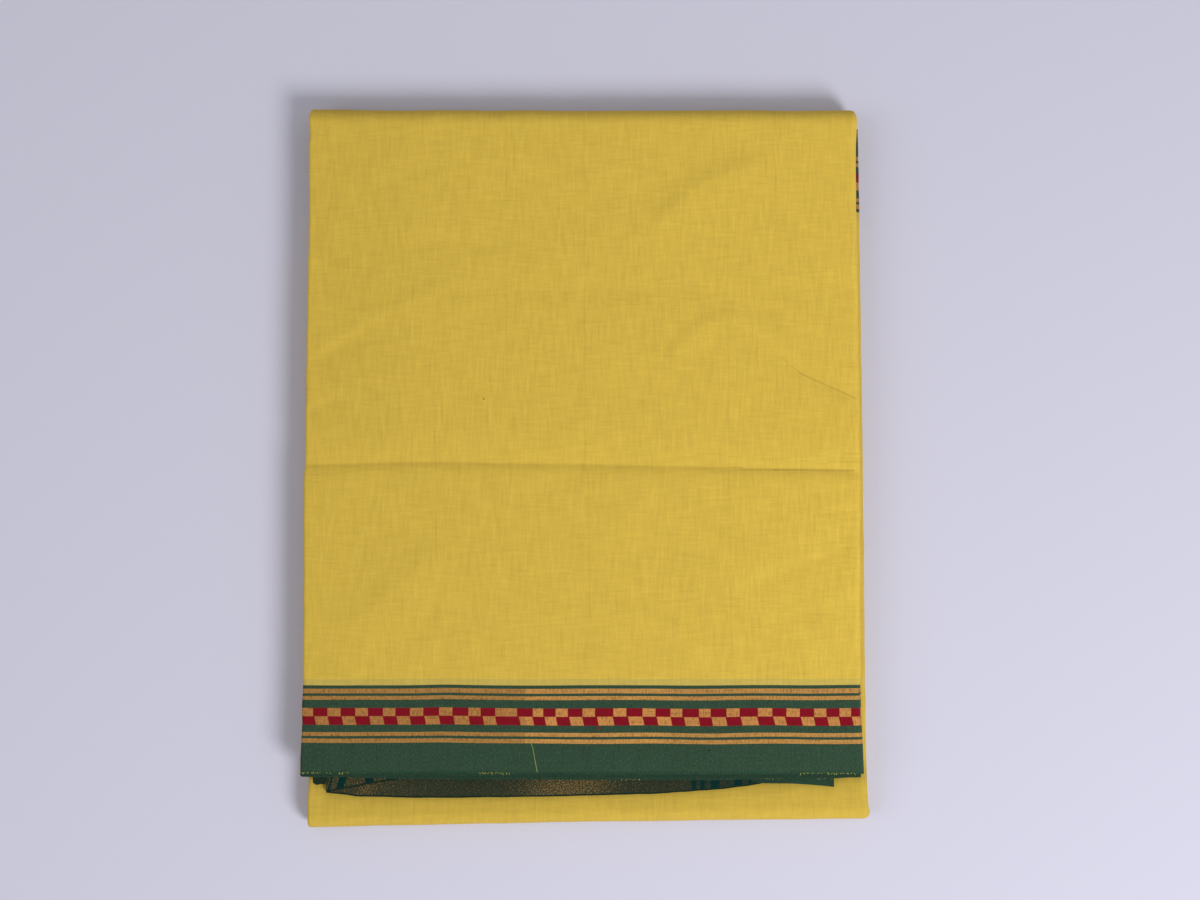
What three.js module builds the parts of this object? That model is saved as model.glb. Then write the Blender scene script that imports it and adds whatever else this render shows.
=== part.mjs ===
// A cotton saree, folded for the shelf and lying on a level surface.
//
// The cloth is first folded lengthwise into a long strip of many layers, and
// the strip is then folded in three: the base flap lies on the surface, the
// inner flap comes back over it from the front fold, and the top flap comes
// forward over both from the back fold, with its border along the front edge.
//
// Millimetres, Z up. The origin is on the surface, under the middle of the
// bounding box. X runs to the right and Y to the back fold.

import * as THREE from "three";

// Driving dimensions of the pack
const FLAP_THICKNESS = 6.8;
const GAP = 0.3;
const BACK_FOLD_Y = 204.5;
const FRONT_FOLD_Y = -202.1;
const FRONT_FOLD_SLANT = 0.0155;
const SELVEDGE_A_Y = -175.1;
const SELVEDGE_A_SLANT = 0.0036;
const SELVEDGE_B_Y = 192.9;

// Driving dimensions of the outermost sheet, which stands for the outer layers
const SHEET_THICKNESS = 1.9;
const SHEET_THICKNESS_AT_SELVEDGE = 1.1;
const RETURN_THICKNESS = 1.0;
const LEAST_THICKNESS = 1.05;
const RETURN_WIDTH = 14;
const THINNING_STARTS_Y = -128;
const THINNING_ENDS_Y = -132;

// The stack of layers that shows at the front opening
const LAYER_THICKNESS = 1.0;
const HIDDEN_FRONT_Y = -163;
const HIDDEN_STEP_Y = -132.6;

// Levels that follow from them
const HALF_FLAP = FLAP_THICKNESS / 2;
const FLAP_PITCH = FLAP_THICKNESS + GAP;
const BASE_LEVEL = HALF_FLAP;
const INNER_LEVEL = BASE_LEVEL + FLAP_PITCH;
const TOP_LEVEL = INNER_LEVEL + FLAP_PITCH;
const BACK_RADIUS = (TOP_LEVEL - BASE_LEVEL) / 2;
const FRONT_RADIUS = (INNER_LEVEL - BASE_LEVEL) / 2;
const FRONT_CENTRE_LEVEL = (BASE_LEVEL + INNER_LEVEL) / 2;
const BACK_CENTRE_Y = BACK_FOLD_Y - BACK_RADIUS - HALF_FLAP;
const FRONT_CENTRE_Y = FRONT_FOLD_Y + FRONT_RADIUS + HALF_FLAP;
const FLAT_REACH_Y = -100;
const CREASED_FROM_Y = -118;
const STORAGE_FOLD_Y = -4;

const COLOURS = {
  yellow: 0xd0b04a,
  green: 0x36503c,
  goldBrown: 0x5f4b2d,
  teal: 0x12464a,
};

// Left and right edges of the strip along its path, in its three flaps
const EDGES = [
  { flap: "top", y: -176, left: -157.4, right: 154.7 },
  { flap: "top", y: -134, left: -157.2, right: 153.9 },
  { flap: "top", y: -78, left: -157.5, right: 154.5 },
  { flap: "top", y: 0, left: -157.8, right: 155.3 },
  { flap: "top", y: 150, left: -157.8, right: 155.4 },
  { flap: "top", y: 194, left: -158.4, right: 156.3 },
  { flap: "base", y: 194, left: -157.8, right: 156.8 },
  { flap: "base", y: 0, left: -156.6, right: 157.4 },
  { flap: "base", y: -190, left: -155.2, right: 158.0 },
  { flap: "inner", y: -195, left: -155.2, right: 158.4 },
  { flap: "inner", y: -150, left: -155.4, right: 157.4 },
  { flap: "inner", y: 0, left: -156.6, right: 158.0 },
  { flap: "inner", y: 192, left: -157.4, right: 157.9 },
];

// The largest creases of the top, each a soft trough through three points
const CREASES = [
  { name: "storage fold", x0: -160, y0: -3.6, x1: -8, y1: -3, x2: 160, y2: -5.8, width: 5, depth: 0.8 },
  { name: "back right", x0: 21, y0: 130, x1: 57, y1: 152, x2: 106, y2: 181, width: 9, depth: 0.5 },
  { name: "left", x0: -154, y0: 50, x1: -110, y1: 77, x2: -59, y2: 105, width: 9, depth: 0.45 },
  { name: "front left", x0: -150, y0: -98, x1: -108, y1: -73, x2: -81, y2: -45, width: 9, depth: 0.5 },
  { name: "middle arc", x0: 32, y0: 40, x1: 57, y1: 76, x2: 100, y2: 83, width: 8, depth: 0.4 },
  { name: "right", x0: 91, y0: 70, x1: 120, y1: 51, x2: 153, y2: 35, width: 8, depth: 0.4 },
];

// A value between the rows of a table that rises in its key
function interpolate(rows, key, value, field) {
  let last = rows[0];
  for (const row of rows) {
    if (value <= row[key]) {
      if (row === last) return row[field];
      const share = (value - last[key]) / (row[key] - last[key]);
      return last[field] + share * (row[field] - last[field]);
    }
    last = row;
  }
  return last[field];
}

// The strip's left or right edge at a place along one of its flaps
function edgeOf(flap, y, side) {
  const rows = EDGES.filter((row) => row.flap === flap).sort((first, second) => first.y - second.y);
  return interpolate(rows, "y", y, side);
}

function distanceToSegment(x, y, ax, ay, bx, by) {
  const lengthSquared = (bx - ax) ** 2 + (by - ay) ** 2;
  const along = ((x - ax) * (bx - ax) + (y - ay) * (by - ay)) / lengthSquared;
  const share = Math.min(1, Math.max(0, along));
  return Math.hypot(x - ax - share * (bx - ax), y - ay - share * (by - ay));
}

function creaseDepth(x, y) {
  let depth = 0;
  for (const crease of CREASES) {
    const first = distanceToSegment(x, y, crease.x0, crease.y0, crease.x1, crease.y1);
    const second = distanceToSegment(x, y, crease.x1, crease.y1, crease.x2, crease.y2);
    const distance = Math.min(first, second);
    depth += crease.depth * Math.exp(-((distance / crease.width) ** 2));
  }
  return Math.min(depth, SHEET_THICKNESS - LEAST_THICKNESS);
}

// One station of the strip's path: a point on its middle line, and the way out
function station(flap, y, z, outY, outZ, edgeY) {
  return {
    flap,
    y,
    z,
    outY,
    outZ,
    left: edgeOf(flap, edgeY, "left"),
    right: edgeOf(flap, edgeY, "right"),
  };
}

function flatStations(flap, level, outZ, places) {
  return places.map((y) => station(flap, y, level, 0, outZ, y));
}

function foldStations(fromFlap, toFlap, centreY, centreZ, radius, startAngle, steps) {
  const stations = [];
  for (let step = 1; step < steps; step += 1) {
    const share = step / steps;
    const angle = startAngle - share * Math.PI;
    const outY = Math.cos(angle);
    const outZ = Math.sin(angle);
    const made = station(fromFlap, centreY + radius * outY, centreZ + radius * outZ, outY, outZ, centreY);
    made.left += share * (edgeOf(toFlap, centreY, "left") - made.left);
    made.right += share * (edgeOf(toFlap, centreY, "right") - made.right);
    stations.push(made);
  }
  return stations;
}

function spread(from, to, count) {
  return Array.from({ length: count + 1 }, (_, index) => from + ((to - from) * index) / count);
}

// How far a point of the strip is moved back or forth by the slant of its ends
function slantShift(flap, x, y) {
  const share = Math.min(1, Math.max(0, (FLAT_REACH_Y - y) / (FLAT_REACH_Y - FRONT_CENTRE_Y)));
  const slant = flap === "top" ? SELVEDGE_A_SLANT : FRONT_FOLD_SLANT;
  return x * slant * share;
}

// A point of the strip, across it at x and out of its middle by t
function stripPoint(place, x, t) {
  const y = place.y + place.outY * t;
  return new THREE.Vector3(x, y + slantShift(place.flap, x, y), place.z + place.outZ * t);
}

// A closed solid through loops of equal count. Point i of each loop faces
// point count - 1 - i, so that strips of faces close the first and last loop.
function loftLoops(loops) {
  const count = loops[0].length;
  const positions = loops.flatMap((loop) => loop.flatMap((point) => [point.x, point.y, point.z]));
  const indices = [];
  const addQuad = (a, b, c, d) => indices.push(a, b, c, a, c, d);
  for (let row = 0; row < loops.length - 1; row += 1) {
    for (let index = 0; index < count; index += 1) {
      const next = (index + 1) % count;
      addQuad(row * count + index, row * count + next, (row + 1) * count + next, (row + 1) * count + index);
    }
  }
  const lastRow = (loops.length - 1) * count;
  for (let index = 0; index < count / 2 - 1; index += 1) {
    const across = count - 1 - index;
    addQuad(index, across, across - 1, index + 1);
    addQuad(lastRow + index, lastRow + index + 1, lastRow + across - 1, lastRow + across);
  }
  return outwardGeometry(positions, indices);
}

function outwardGeometry(positions, indices) {
  const corner = (index) => new THREE.Vector3().fromArray(positions, index * 3);
  let volume = 0;
  for (let face = 0; face < indices.length; face += 3) {
    const [a, b, c] = [corner(indices[face]), corner(indices[face + 1]), corner(indices[face + 2])];
    volume += a.dot(b.cross(c)) / 6;
  }
  if (volume < 0) indices.reverse();
  const geometry = new THREE.BufferGeometry();
  geometry.setAttribute("position", new THREE.Float32BufferAttribute(positions, 3));
  geometry.setIndex(indices);
  geometry.computeVertexNormals();
  return geometry;
}

function clothMesh(name, geometry, colour) {
  const material = new THREE.MeshStandardMaterial({ color: colour, roughness: 0.85, metalness: 0 });
  const mesh = new THREE.Mesh(geometry, material);
  mesh.name = name;
  return mesh;
}

// The outermost sheet's left edge is rounded over, in three steps
const ROUNDED_LEFT_EDGE = [
  { inset: 0, outerDrop: 1.0, innerRise: 0.1 },
  { inset: 0.5, outerDrop: 0.35, innerRise: 0 },
  { inset: 1.5, outerDrop: 0, innerRise: 0 },
];
const EDGE_LEAN = 0.15;
const FIRST_COLUMN_INSET = 5;
const LAST_COLUMN_INSET = 2;
const FOLD_TURNS = 6;

// The outermost sheet's section: a wall over the strip's outer side, round its
// right edge and a little way back on its inner side
function sheetSection(place, columns, wall, depthAt) {
  const foldX = place.right - HALF_FLAP;
  const inside = HALF_FLAP - wall;
  const outer = [];
  const inner = [];
  for (const { inset, outerDrop, innerRise } of ROUNDED_LEFT_EDGE) {
    outer.push([place.left + inset + outerDrop * EDGE_LEAN, HALF_FLAP - outerDrop]);
    inner.push([place.left + inset, inside + innerRise]);
  }
  const firstX = place.left + FIRST_COLUMN_INSET;
  for (let column = 0; column <= columns; column += 1) {
    const x = firstX + ((foldX - LAST_COLUMN_INSET - firstX) * column) / columns;
    outer.push([x, HALF_FLAP - depthAt(x, place.y)]);
    inner.push([x, inside]);
  }
  for (let turn = 0; turn <= FOLD_TURNS; turn += 1) {
    const angle = Math.PI * (0.5 - turn / FOLD_TURNS);
    const thickness = wall + ((RETURN_THICKNESS - wall) * turn) / FOLD_TURNS;
    outer.push([foldX + HALF_FLAP * Math.cos(angle), HALF_FLAP * Math.sin(angle)]);
    const innerRadius = HALF_FLAP - thickness;
    inner.push([foldX + innerRadius * Math.cos(angle), innerRadius * Math.sin(angle)]);
  }
  outer.push([foldX - RETURN_WIDTH, -HALF_FLAP]);
  inner.push([foldX - RETURN_WIDTH, RETURN_THICKNESS - HALF_FLAP]);
  return [...outer, ...inner.reverse()].map(([x, t]) => stripPoint(place, x, t));
}

function sheetThickness(y) {
  const share = Math.min(1, Math.max(0, (y - THINNING_ENDS_Y) / (THINNING_STARTS_Y - THINNING_ENDS_Y)));
  return SHEET_THICKNESS_AT_SELVEDGE + share * (SHEET_THICKNESS - SHEET_THICKNESS_AT_SELVEDGE);
}

function topPanel() {
  const columns = 22;
  const front = [SELVEDGE_A_Y, SELVEDGE_A_Y + 1.5, -160, -145, THINNING_ENDS_Y, THINNING_STARTS_Y];
  const beforeFold = spread(CREASED_FROM_Y, STORAGE_FOLD_Y - 14, 8);
  const overFold = spread(STORAGE_FOLD_Y - 7, STORAGE_FOLD_Y + 7, 4);
  const behindFold = spread(STORAGE_FOLD_Y + 14, BACK_CENTRE_Y - 12, 13);
  const places = [...front, ...beforeFold, ...overFold, ...behindFold, BACK_CENTRE_Y];
  const stations = [
    ...flatStations("top", TOP_LEVEL, 1, places),
    ...foldStations("top", "base", BACK_CENTRE_Y, INNER_LEVEL, BACK_RADIUS, Math.PI / 2, 10),
    station("base", BACK_CENTRE_Y, BASE_LEVEL, 0, -1, BACK_CENTRE_Y),
  ];
  const depthOnTop = (place) => (place.outZ === 1 && place.y >= CREASED_FROM_Y ? creaseDepth : () => 0);
  const loops = stations.map((place) => {
    const wall = place.outZ === 1 ? sheetThickness(place.y) : SHEET_THICKNESS;
    return sheetSection(place, columns, wall, depthOnTop(place));
  });
  return clothMesh("top_panel", loftLoops(loops), COLOURS.yellow);
}

function undersidePanel() {
  const places = [BACK_CENTRE_Y - GAP, 100, 0, FLAT_REACH_Y, FRONT_CENTRE_Y + GAP];
  const loops = flatStations("base", BASE_LEVEL, -1, places).map((place) =>
    sheetSection(place, 1, SHEET_THICKNESS, () => 0),
  );
  return clothMesh("underside_panel", loftLoops(loops), COLOURS.yellow);
}

function frontPanel() {
  const columns = 6;
  const places = [FRONT_CENTRE_Y, -185, -170, -140, FLAT_REACH_Y, 0, 100, SELVEDGE_B_Y];
  const stations = [
    station("base", FRONT_CENTRE_Y, BASE_LEVEL, 0, -1, FRONT_CENTRE_Y),
    ...foldStations("base", "inner", FRONT_CENTRE_Y, FRONT_CENTRE_LEVEL, FRONT_RADIUS, -Math.PI / 2, 10),
    ...flatStations("inner", INNER_LEVEL, 1, places),
  ];
  const loops = stations.map((place) => sheetSection(place, columns, SHEET_THICKNESS, () => 0));
  return clothMesh("front_panel", loftLoops(loops), COLOURS.yellow);
}

// The left edge of the hidden layers: how far each level is set in, from the
// outer side to the inner one. The levels that are set in most part two folds.
const HIDDEN_ROWS = [
  { t: 1.2, inset: 0.02 },
  { t: 0.7, inset: 0.15 },
  { t: 0.25, inset: 0.5 },
  { t: -0.15, inset: 1.1 },
  { t: -0.6, inset: 0.55 },
  { t: -1.15, inset: 0.35 },
  { t: -1.7, inset: 0.6 },
  { t: -2.05, inset: 1.15 },
  { t: -2.15, inset: 1.1 },
  { t: -2.4, inset: 0.75 },
  { t: -2.7, inset: 0.75 },
  { t: -2.9, inset: 1.1 },
  { t: -3.4, inset: 0.9 },
];
const HIDDEN_TOP = HIDDEN_ROWS[0].t;
const OVER_RETURN_LEVEL = -2.05;
const HIDDEN_TOP_AT_FRONT = -0.6;
const REACH_INTO_FOLD = 1;
const REACH_AT_FRONT = -2;

// The hidden layers' section, a row of points down each side. On the right they
// reach into the outer sheet's fold, and lower down they end beside its return.
function hiddenSection(place, topLevel, reach) {
  const foldX = place.right - HALF_FLAP;
  const squeeze = (topLevel - OVER_RETURN_LEVEL) / (HIDDEN_TOP - OVER_RETURN_LEVEL);
  const rightSide = [];
  const leftSide = [];
  for (const row of HIDDEN_ROWS) {
    if (row.t >= OVER_RETURN_LEVEL) {
      const t = OVER_RETURN_LEVEL + (row.t - OVER_RETURN_LEVEL) * squeeze;
      const bulge = Math.sqrt(1 - (t / (HALF_FLAP - RETURN_THICKNESS)) ** 2);
      rightSide.push([foldX + reach * bulge, t]);
      leftSide.push([place.left + row.inset, t]);
    } else {
      rightSide.push([foldX - RETURN_WIDTH - GAP, row.t]);
      leftSide.push([place.left + row.inset, row.t]);
    }
  }
  return [...rightSide, ...leftSide.reverse()].map(([x, t]) => stripPoint(place, x, t));
}

function hiddenLayers() {
  const topPlaces = [HIDDEN_STEP_Y, -60, 0, 90, 150, BACK_CENTRE_Y];
  const basePlaces = [BACK_CENTRE_Y, 100, 0, FLAT_REACH_Y, FRONT_CENTRE_Y];
  const innerPlaces = [FRONT_CENTRE_Y, -150, FLAT_REACH_Y, 0, 100, SELVEDGE_B_Y - 2];
  const front = flatStations("top", TOP_LEVEL, 1, [HIDDEN_FRONT_Y, HIDDEN_STEP_Y - GAP]);
  const stations = [
    ...flatStations("top", TOP_LEVEL, 1, topPlaces),
    ...foldStations("top", "base", BACK_CENTRE_Y, INNER_LEVEL, BACK_RADIUS, Math.PI / 2, 10),
    ...flatStations("base", BASE_LEVEL, -1, basePlaces),
    ...foldStations("base", "inner", FRONT_CENTRE_Y, FRONT_CENTRE_LEVEL, FRONT_RADIUS, -Math.PI / 2, 10),
    ...flatStations("inner", INNER_LEVEL, 1, innerPlaces),
  ];
  const loops = [
    ...front.map((place) => hiddenSection(place, HIDDEN_TOP_AT_FRONT, REACH_AT_FRONT)),
    ...stations.map((place) => hiddenSection(place, HIDDEN_TOP, REACH_INTO_FOLD)),
  ];
  return clothMesh("hidden_layers", loftLoops(loops), COLOURS.yellow);
}

// A short layer at the front opening, lofted across its width. Each place gives
// x, the level of its middle above the strip's middle, and its front edge.
function shortLayer(name, places, backY, colour) {
  const half = LAYER_THICKNESS / 2;
  const lip = LAYER_THICKNESS / 4;
  const loops = places.map(({ x, t, edge, outX = 0, outT = 1 }) => {
    const point = (y, off) =>
      new THREE.Vector3(x + outX * off, y + slantShift("top", x, y), TOP_LEVEL + t + outT * off);
    return [
      point(backY, half),
      point(edge + lip, half),
      point(edge, half - lip),
      point(edge, lip - half),
      point(edge + lip, -half),
      point(backY, -half),
    ];
  });
  return clothMesh(name, loftLoops(loops), colour);
}

const STACK_TOP = HALF_FLAP - SHEET_THICKNESS_AT_SELVEDGE - GAP;
const STACK_PITCH = LAYER_THICKNESS + GAP;

function stackLevel(order) {
  return STACK_TOP - LAYER_THICKNESS / 2 - order * STACK_PITCH;
}

// The front edges of the short layers, left to right
const SECOND_EDGE = [
  { x: -156, edge: -177.0 },
  { x: -110, edge: -177.6 },
  { x: 0, edge: -177.9 },
  { x: 70, edge: -178.4 },
  { x: 140, edge: -177.4 },
  { x: 156, edge: -176.9 },
];
const SECOND_EDGE_AT_FOLD = -176.9;
const SECOND_INSET = 1.2;
const SECOND_FOLD_INSET = 0.1;
const SECOND_TURN = 0.9 * Math.PI;

const INNER_LEFT = -150.7;
const INNER_RIGHT = 138.4;
const INNER_BORDER_EDGE = [
  { x: INNER_LEFT, edge: -179.6 },
  { x: -146, edge: -180.4 },
  { x: -142.5, edge: -180.2 },
  { x: -139, edge: -176.4 },
  { x: -60, edge: -176.2 },
  { x: 20, edge: -176.2 },
  { x: 91, edge: -176.4 },
  { x: 95.5, edge: -180.2 },
  { x: 110, edge: -180.4 },
  { x: 125, edge: -180.9 },
  { x: 132, edge: -181.6 },
  { x: INNER_RIGHT, edge: -182.4 },
];

const PALLU_LEFT = -143.5;
const PALLU_RIGHT = 98.1;
const PALLU_UPPER_RIGHT = 96;
const PALLU_UPPER_EDGE = [
  { x: PALLU_LEFT, edge: -184.6 },
  { x: -137, edge: -183.2 },
  { x: -124, edge: -180.8 },
  { x: -100, edge: -177.0 },
  { x: 0, edge: -176.4 },
  { x: PALLU_UPPER_RIGHT, edge: -177.0 },
];

const PALLU_LOWER_EDGE = [
  { x: PALLU_LEFT, edge: -184.9 },
  { x: -125, edge: -187.0 },
  { x: -85, edge: -187.9 },
  { x: -20, edge: -187.4 },
  { x: 40, edge: -186.0 },
  { x: 76, edge: -183.6 },
  { x: 92, edge: -181.8 },
  { x: PALLU_RIGHT, edge: -180.7 },
];

function edgePlaces(table, from, to, count, level) {
  return spread(from, to, count).map((x) => ({ x, t: level, edge: interpolate(table, "x", x, "edge") }));
}

// The second layer turns down inside the top sheet's right edge
function secondLayer() {
  const level = stackLevel(0);
  const foldX = edgeOf("top", HIDDEN_STEP_Y, "right") - HALF_FLAP - SECOND_FOLD_INSET;
  const left = edgeOf("top", SELVEDGE_A_Y, "left") + SECOND_INSET;
  const places = edgePlaces(SECOND_EDGE, left, foldX, 16, level);
  const turns = 5;
  for (let turn = 1; turn <= turns; turn += 1) {
    const angle = Math.PI / 2 - (SECOND_TURN * turn) / turns;
    const outX = Math.cos(angle);
    const outT = Math.sin(angle);
    places.push({ x: foldX + level * outX, t: level * outT, edge: SECOND_EDGE_AT_FOLD, outX, outT });
  }
  return shortLayer("second_layer", places, HIDDEN_STEP_Y - 2 * GAP, COLOURS.green);
}

// The inner border layer shows on both sides of the pallu, and lies behind it
function innerBorderLayer() {
  const places = INNER_BORDER_EDGE.map(({ x, edge }) => ({ x, t: stackLevel(1), edge }));
  return shortLayer("inner_border_layer", places, HIDDEN_STEP_Y - 2 * GAP, COLOURS.green);
}

function palluUpper() {
  const places = edgePlaces(PALLU_UPPER_EDGE, PALLU_LEFT, PALLU_UPPER_RIGHT, 24, stackLevel(2));
  return shortLayer("pallu_upper", places, HIDDEN_FRONT_Y - GAP, COLOURS.teal);
}

function palluLower() {
  const places = edgePlaces(PALLU_LOWER_EDGE, PALLU_LEFT, PALLU_RIGHT, 22, stackLevel(3));
  return shortLayer("pallu_lower", places, HIDDEN_FRONT_Y - GAP, COLOURS.goldBrown);
}

const saree = new THREE.Group();
saree.add(
  topPanel(),
  undersidePanel(),
  frontPanel(),
  hiddenLayers(),
  secondLayer(),
  innerBorderLayer(),
  palluUpper(),
  palluLower(),
);

export default saree;
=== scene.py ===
"""A yellow cotton saree with a green and gold border, folded for the shelf.

The classes hold their sizes in millimetres, in the part's own frame: X to the
right, Y to the thick back fold and Z up from the surface that the pack lies on.
A mesh is made in metres.
"""

import logging
import math
from dataclasses import dataclass, field
from enum import Enum
from typing import Any, Callable, Sequence

import bpy
import numpy as np
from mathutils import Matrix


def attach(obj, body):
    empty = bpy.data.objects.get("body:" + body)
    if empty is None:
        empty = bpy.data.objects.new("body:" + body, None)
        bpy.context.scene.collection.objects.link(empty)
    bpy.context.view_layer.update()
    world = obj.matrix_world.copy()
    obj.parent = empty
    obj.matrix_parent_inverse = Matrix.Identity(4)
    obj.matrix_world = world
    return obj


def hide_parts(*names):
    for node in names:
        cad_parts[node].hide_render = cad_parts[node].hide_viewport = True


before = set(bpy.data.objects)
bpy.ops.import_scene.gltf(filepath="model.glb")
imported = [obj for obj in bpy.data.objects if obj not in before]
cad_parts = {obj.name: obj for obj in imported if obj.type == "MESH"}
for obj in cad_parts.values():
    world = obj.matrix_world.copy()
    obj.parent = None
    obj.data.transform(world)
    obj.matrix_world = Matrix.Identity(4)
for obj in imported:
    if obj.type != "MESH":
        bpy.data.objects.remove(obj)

LOG = logging.getLogger("saree")
MM = 0.001
Colour = tuple[float, float, float]
Object = bpy.types.Object


class Flap(Enum):
    """The three flaps of the folded strip, from the top down its path."""

    TOP = "top"
    BASE = "base"
    INNER = "inner"


class Slot(Enum):
    """The record's material slots."""

    YELLOW = "yellow_body"
    GREEN = "green_border"
    PALLU = "pallu"


# ---------------------------------------------------------------- node trees


class Wire:
    """One output socket that takes part in Python expressions."""

    def __init__(self, nodes: "Nodes", socket: bpy.types.NodeSocket) -> None:
        """Keeps what adds new nodes, and the output socket that this stands for."""
        self.nodes = nodes
        self.socket = socket

    def _math(self, operation: str, *values: Any) -> "Wire":
        """Adds one Math node, with one value or two, and gives its result."""
        return self.nodes.add("ShaderNodeMath", {"operation": operation}, dict(enumerate(values)))

    @staticmethod
    def _operator(operation: str, swapped: bool = False) -> Callable[["Wire", Any], "Wire"]:
        """Makes the method for one of Python's operators.

        Args:
            operation: The Math node's operation.
            swapped: Whether the other value comes first.

        Returns:
            The method.
        """

        def method(self: "Wire", other: Any) -> "Wire":
            """Adds the node for this and the other value."""
            return self._math(operation, *((other, self) if swapped else (self, other)))

        return method

    __add__, __radd__ = _operator("ADD"), _operator("ADD", True)
    __sub__, __rsub__ = _operator("SUBTRACT"), _operator("SUBTRACT", True)
    __mul__, __rmul__ = _operator("MULTIPLY"), _operator("MULTIPLY", True)
    __gt__, __lt__ = _operator("GREATER_THAN"), _operator("LESS_THAN")
    __mod__ = _operator("FLOORED_MODULO")

    def sine(self) -> "Wire":
        """The sine of this, in radians."""
        return self._math("SINE", self)

    def floor(self) -> "Wire":
        """The whole number at or under this."""
        return self._math("FLOOR", self)

    def limited(self) -> "Wire":
        """This, kept between zero and one."""
        return self.nodes.add("ShaderNodeClamp", {}, {0: self})


class Nodes:
    """Adds nodes to one tree, a material's or a geometry group's."""

    def __init__(self, tree: bpy.types.NodeTree) -> None:
        """Keeps the tree to add to."""
        self.tree = tree

    def make(self, kind: str, settings: dict[str, Any], values: dict[Any, Any]) -> bpy.types.Node:
        """Adds a node, sets it, and gives its inputs their values or links.

        Args:
            kind: The node's type name.
            settings: Its settings; "stops" are a ramp's (place, colour) pairs.
            values: Its inputs by name or number, each a Wire or a plain value.

        Returns:
            The new node.
        """
        node = self.tree.nodes.new(kind)
        for name, value in settings.items():
            if name == "stops":
                self._set_stops(node.color_ramp, value)
            elif name == "interpolation":
                node.color_ramp.interpolation = value
            else:
                setattr(node, name, value)
        for name, value in values.items():
            if isinstance(value, Wire):
                self.tree.links.new(value.socket, node.inputs[name])
            else:
                node.inputs[name].default_value = value
        return node

    def add(self, kind: str, settings: dict[str, Any], values: dict[Any, Any], out: Any = 0) -> Wire:
        """Adds a node as make does and gives one of its outputs, by name or number."""
        return Wire(self, self.make(kind, settings, values).outputs[out])

    def mix(self, share: Any, first: Any, second: Any, blend: str = "MIX") -> Wire:
        """Mixes two colours.

        Args:
            share: How much of the second there is.
            first: The first colour, a wire or a tuple.
            second: The second colour, a wire or a tuple.
            blend: The way they are blended.

        Returns:
            The mixed colour.
        """

        def rgba(value: Any) -> Any:
            """Gives a plain colour its fourth number."""
            return value if isinstance(value, Wire) else (*value[:3], 1.0)

        settings = {"data_type": "RGBA", "blend_type": blend, "clamp_factor": True}
        return self.add("ShaderNodeMix", settings, {0: share, 6: rgba(first), 7: rgba(second)}, 2)

    def grey(self, light: Wire) -> Wire:
        """A grey as bright as a number."""
        return self.add("ShaderNodeCombineColor", {}, {0: light, 1: light, 2: light})

    def bump(self, strength: float, depth: float, height: Wire) -> Wire:
        """A bump of a depth in millimetres."""
        values = {"Strength": strength, "Distance": depth * MM, "Height": height}
        return self.add("ShaderNodeBump", {}, values)

    def end(self, **values: Any) -> None:
        """Ends a material with its shader.

        Args:
            **values: The shader's inputs, with underscores for the spaces in their names.
        """
        named = {name.replace("_", " "): value for name, value in values.items()}
        shader = self.add("ShaderNodeBsdfPrincipled", {}, named)
        self.make("ShaderNodeOutputMaterial", {}, {"Surface": shader})

    @staticmethod
    def _set_stops(ramp: bpy.types.ColorRamp, stops: Sequence[tuple[float, Colour]]) -> None:
        """Sets a ramp's stops.

        Args:
            ramp: The ramp, with its first two stops still there.
            stops: The places, rising from 0, and their colours.
        """
        for index, (place, colour) in enumerate(stops):
            stop = ramp.elements[index] if index < 2 else ramp.elements.new(place)
            stop.position = place
            stop.color = (*colour, 1.0)


# ------------------------------------------------------------------ finishes


def srgb(red: float, green: float, blue: float) -> Colour:
    """Turns an sRGB colour of 0 to 255 into the linear one that shaders take."""
    parts = [value / 255 for value in (red, green, blue)]
    return tuple(v / 12.92 if v <= 0.04045 else ((v + 0.055) / 1.055) ** 2.4 for v in parts)


def blank_material(name: str) -> tuple[bpy.types.Material, Nodes]:
    """Makes a material with no nodes yet.

    Args:
        name: The material's name.

    Returns:
        The material, and what adds nodes to it.
    """
    material = bpy.data.materials.new(name)
    material.use_nodes = True
    material.node_tree.nodes.clear()
    return material, Nodes(material.node_tree)


YELLOW = srgb(213, 180, 70)
YELLOW_SLUB = srgb(219, 188, 80)
YELLOW_THIN = srgb(203, 168, 64)
GREENISH = srgb(190, 170, 86)
GREEN = srgb(42, 70, 54)
GREEN_EDGE = srgb(20, 62, 46)
GREEN_DARK = srgb(30, 52, 38)
GREEN_SHOT = srgb(104, 112, 66)
GOLD = srgb(188, 138, 72)
GOLD_DARK = srgb(126, 86, 42)
GOLD_CHECK = srgb(196, 134, 72)
RED = srgb(136, 2, 26)
RED_DARK = srgb(104, 0, 14)
TEAL = srgb(2, 43, 39)
BROWN_GOLD = srgb(41, 49, 36)
BROWN_SPARK = srgb(156, 124, 72)
PALLU_EDGE = srgb(20, 40, 30)
BLACK, WHITE = (0.0,) * 3, (1.0,) * 3


@dataclass(frozen=True)
class Yarn:
    """The threads of one cloth: how far apart they are and how uneven."""

    pitch: float = 0.36
    slub_width: float = 0.75
    slub_length: float = 22.0
    own_place: float = 90.0
    unevenness: float = 0.6
    relief: float = 0.05


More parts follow.
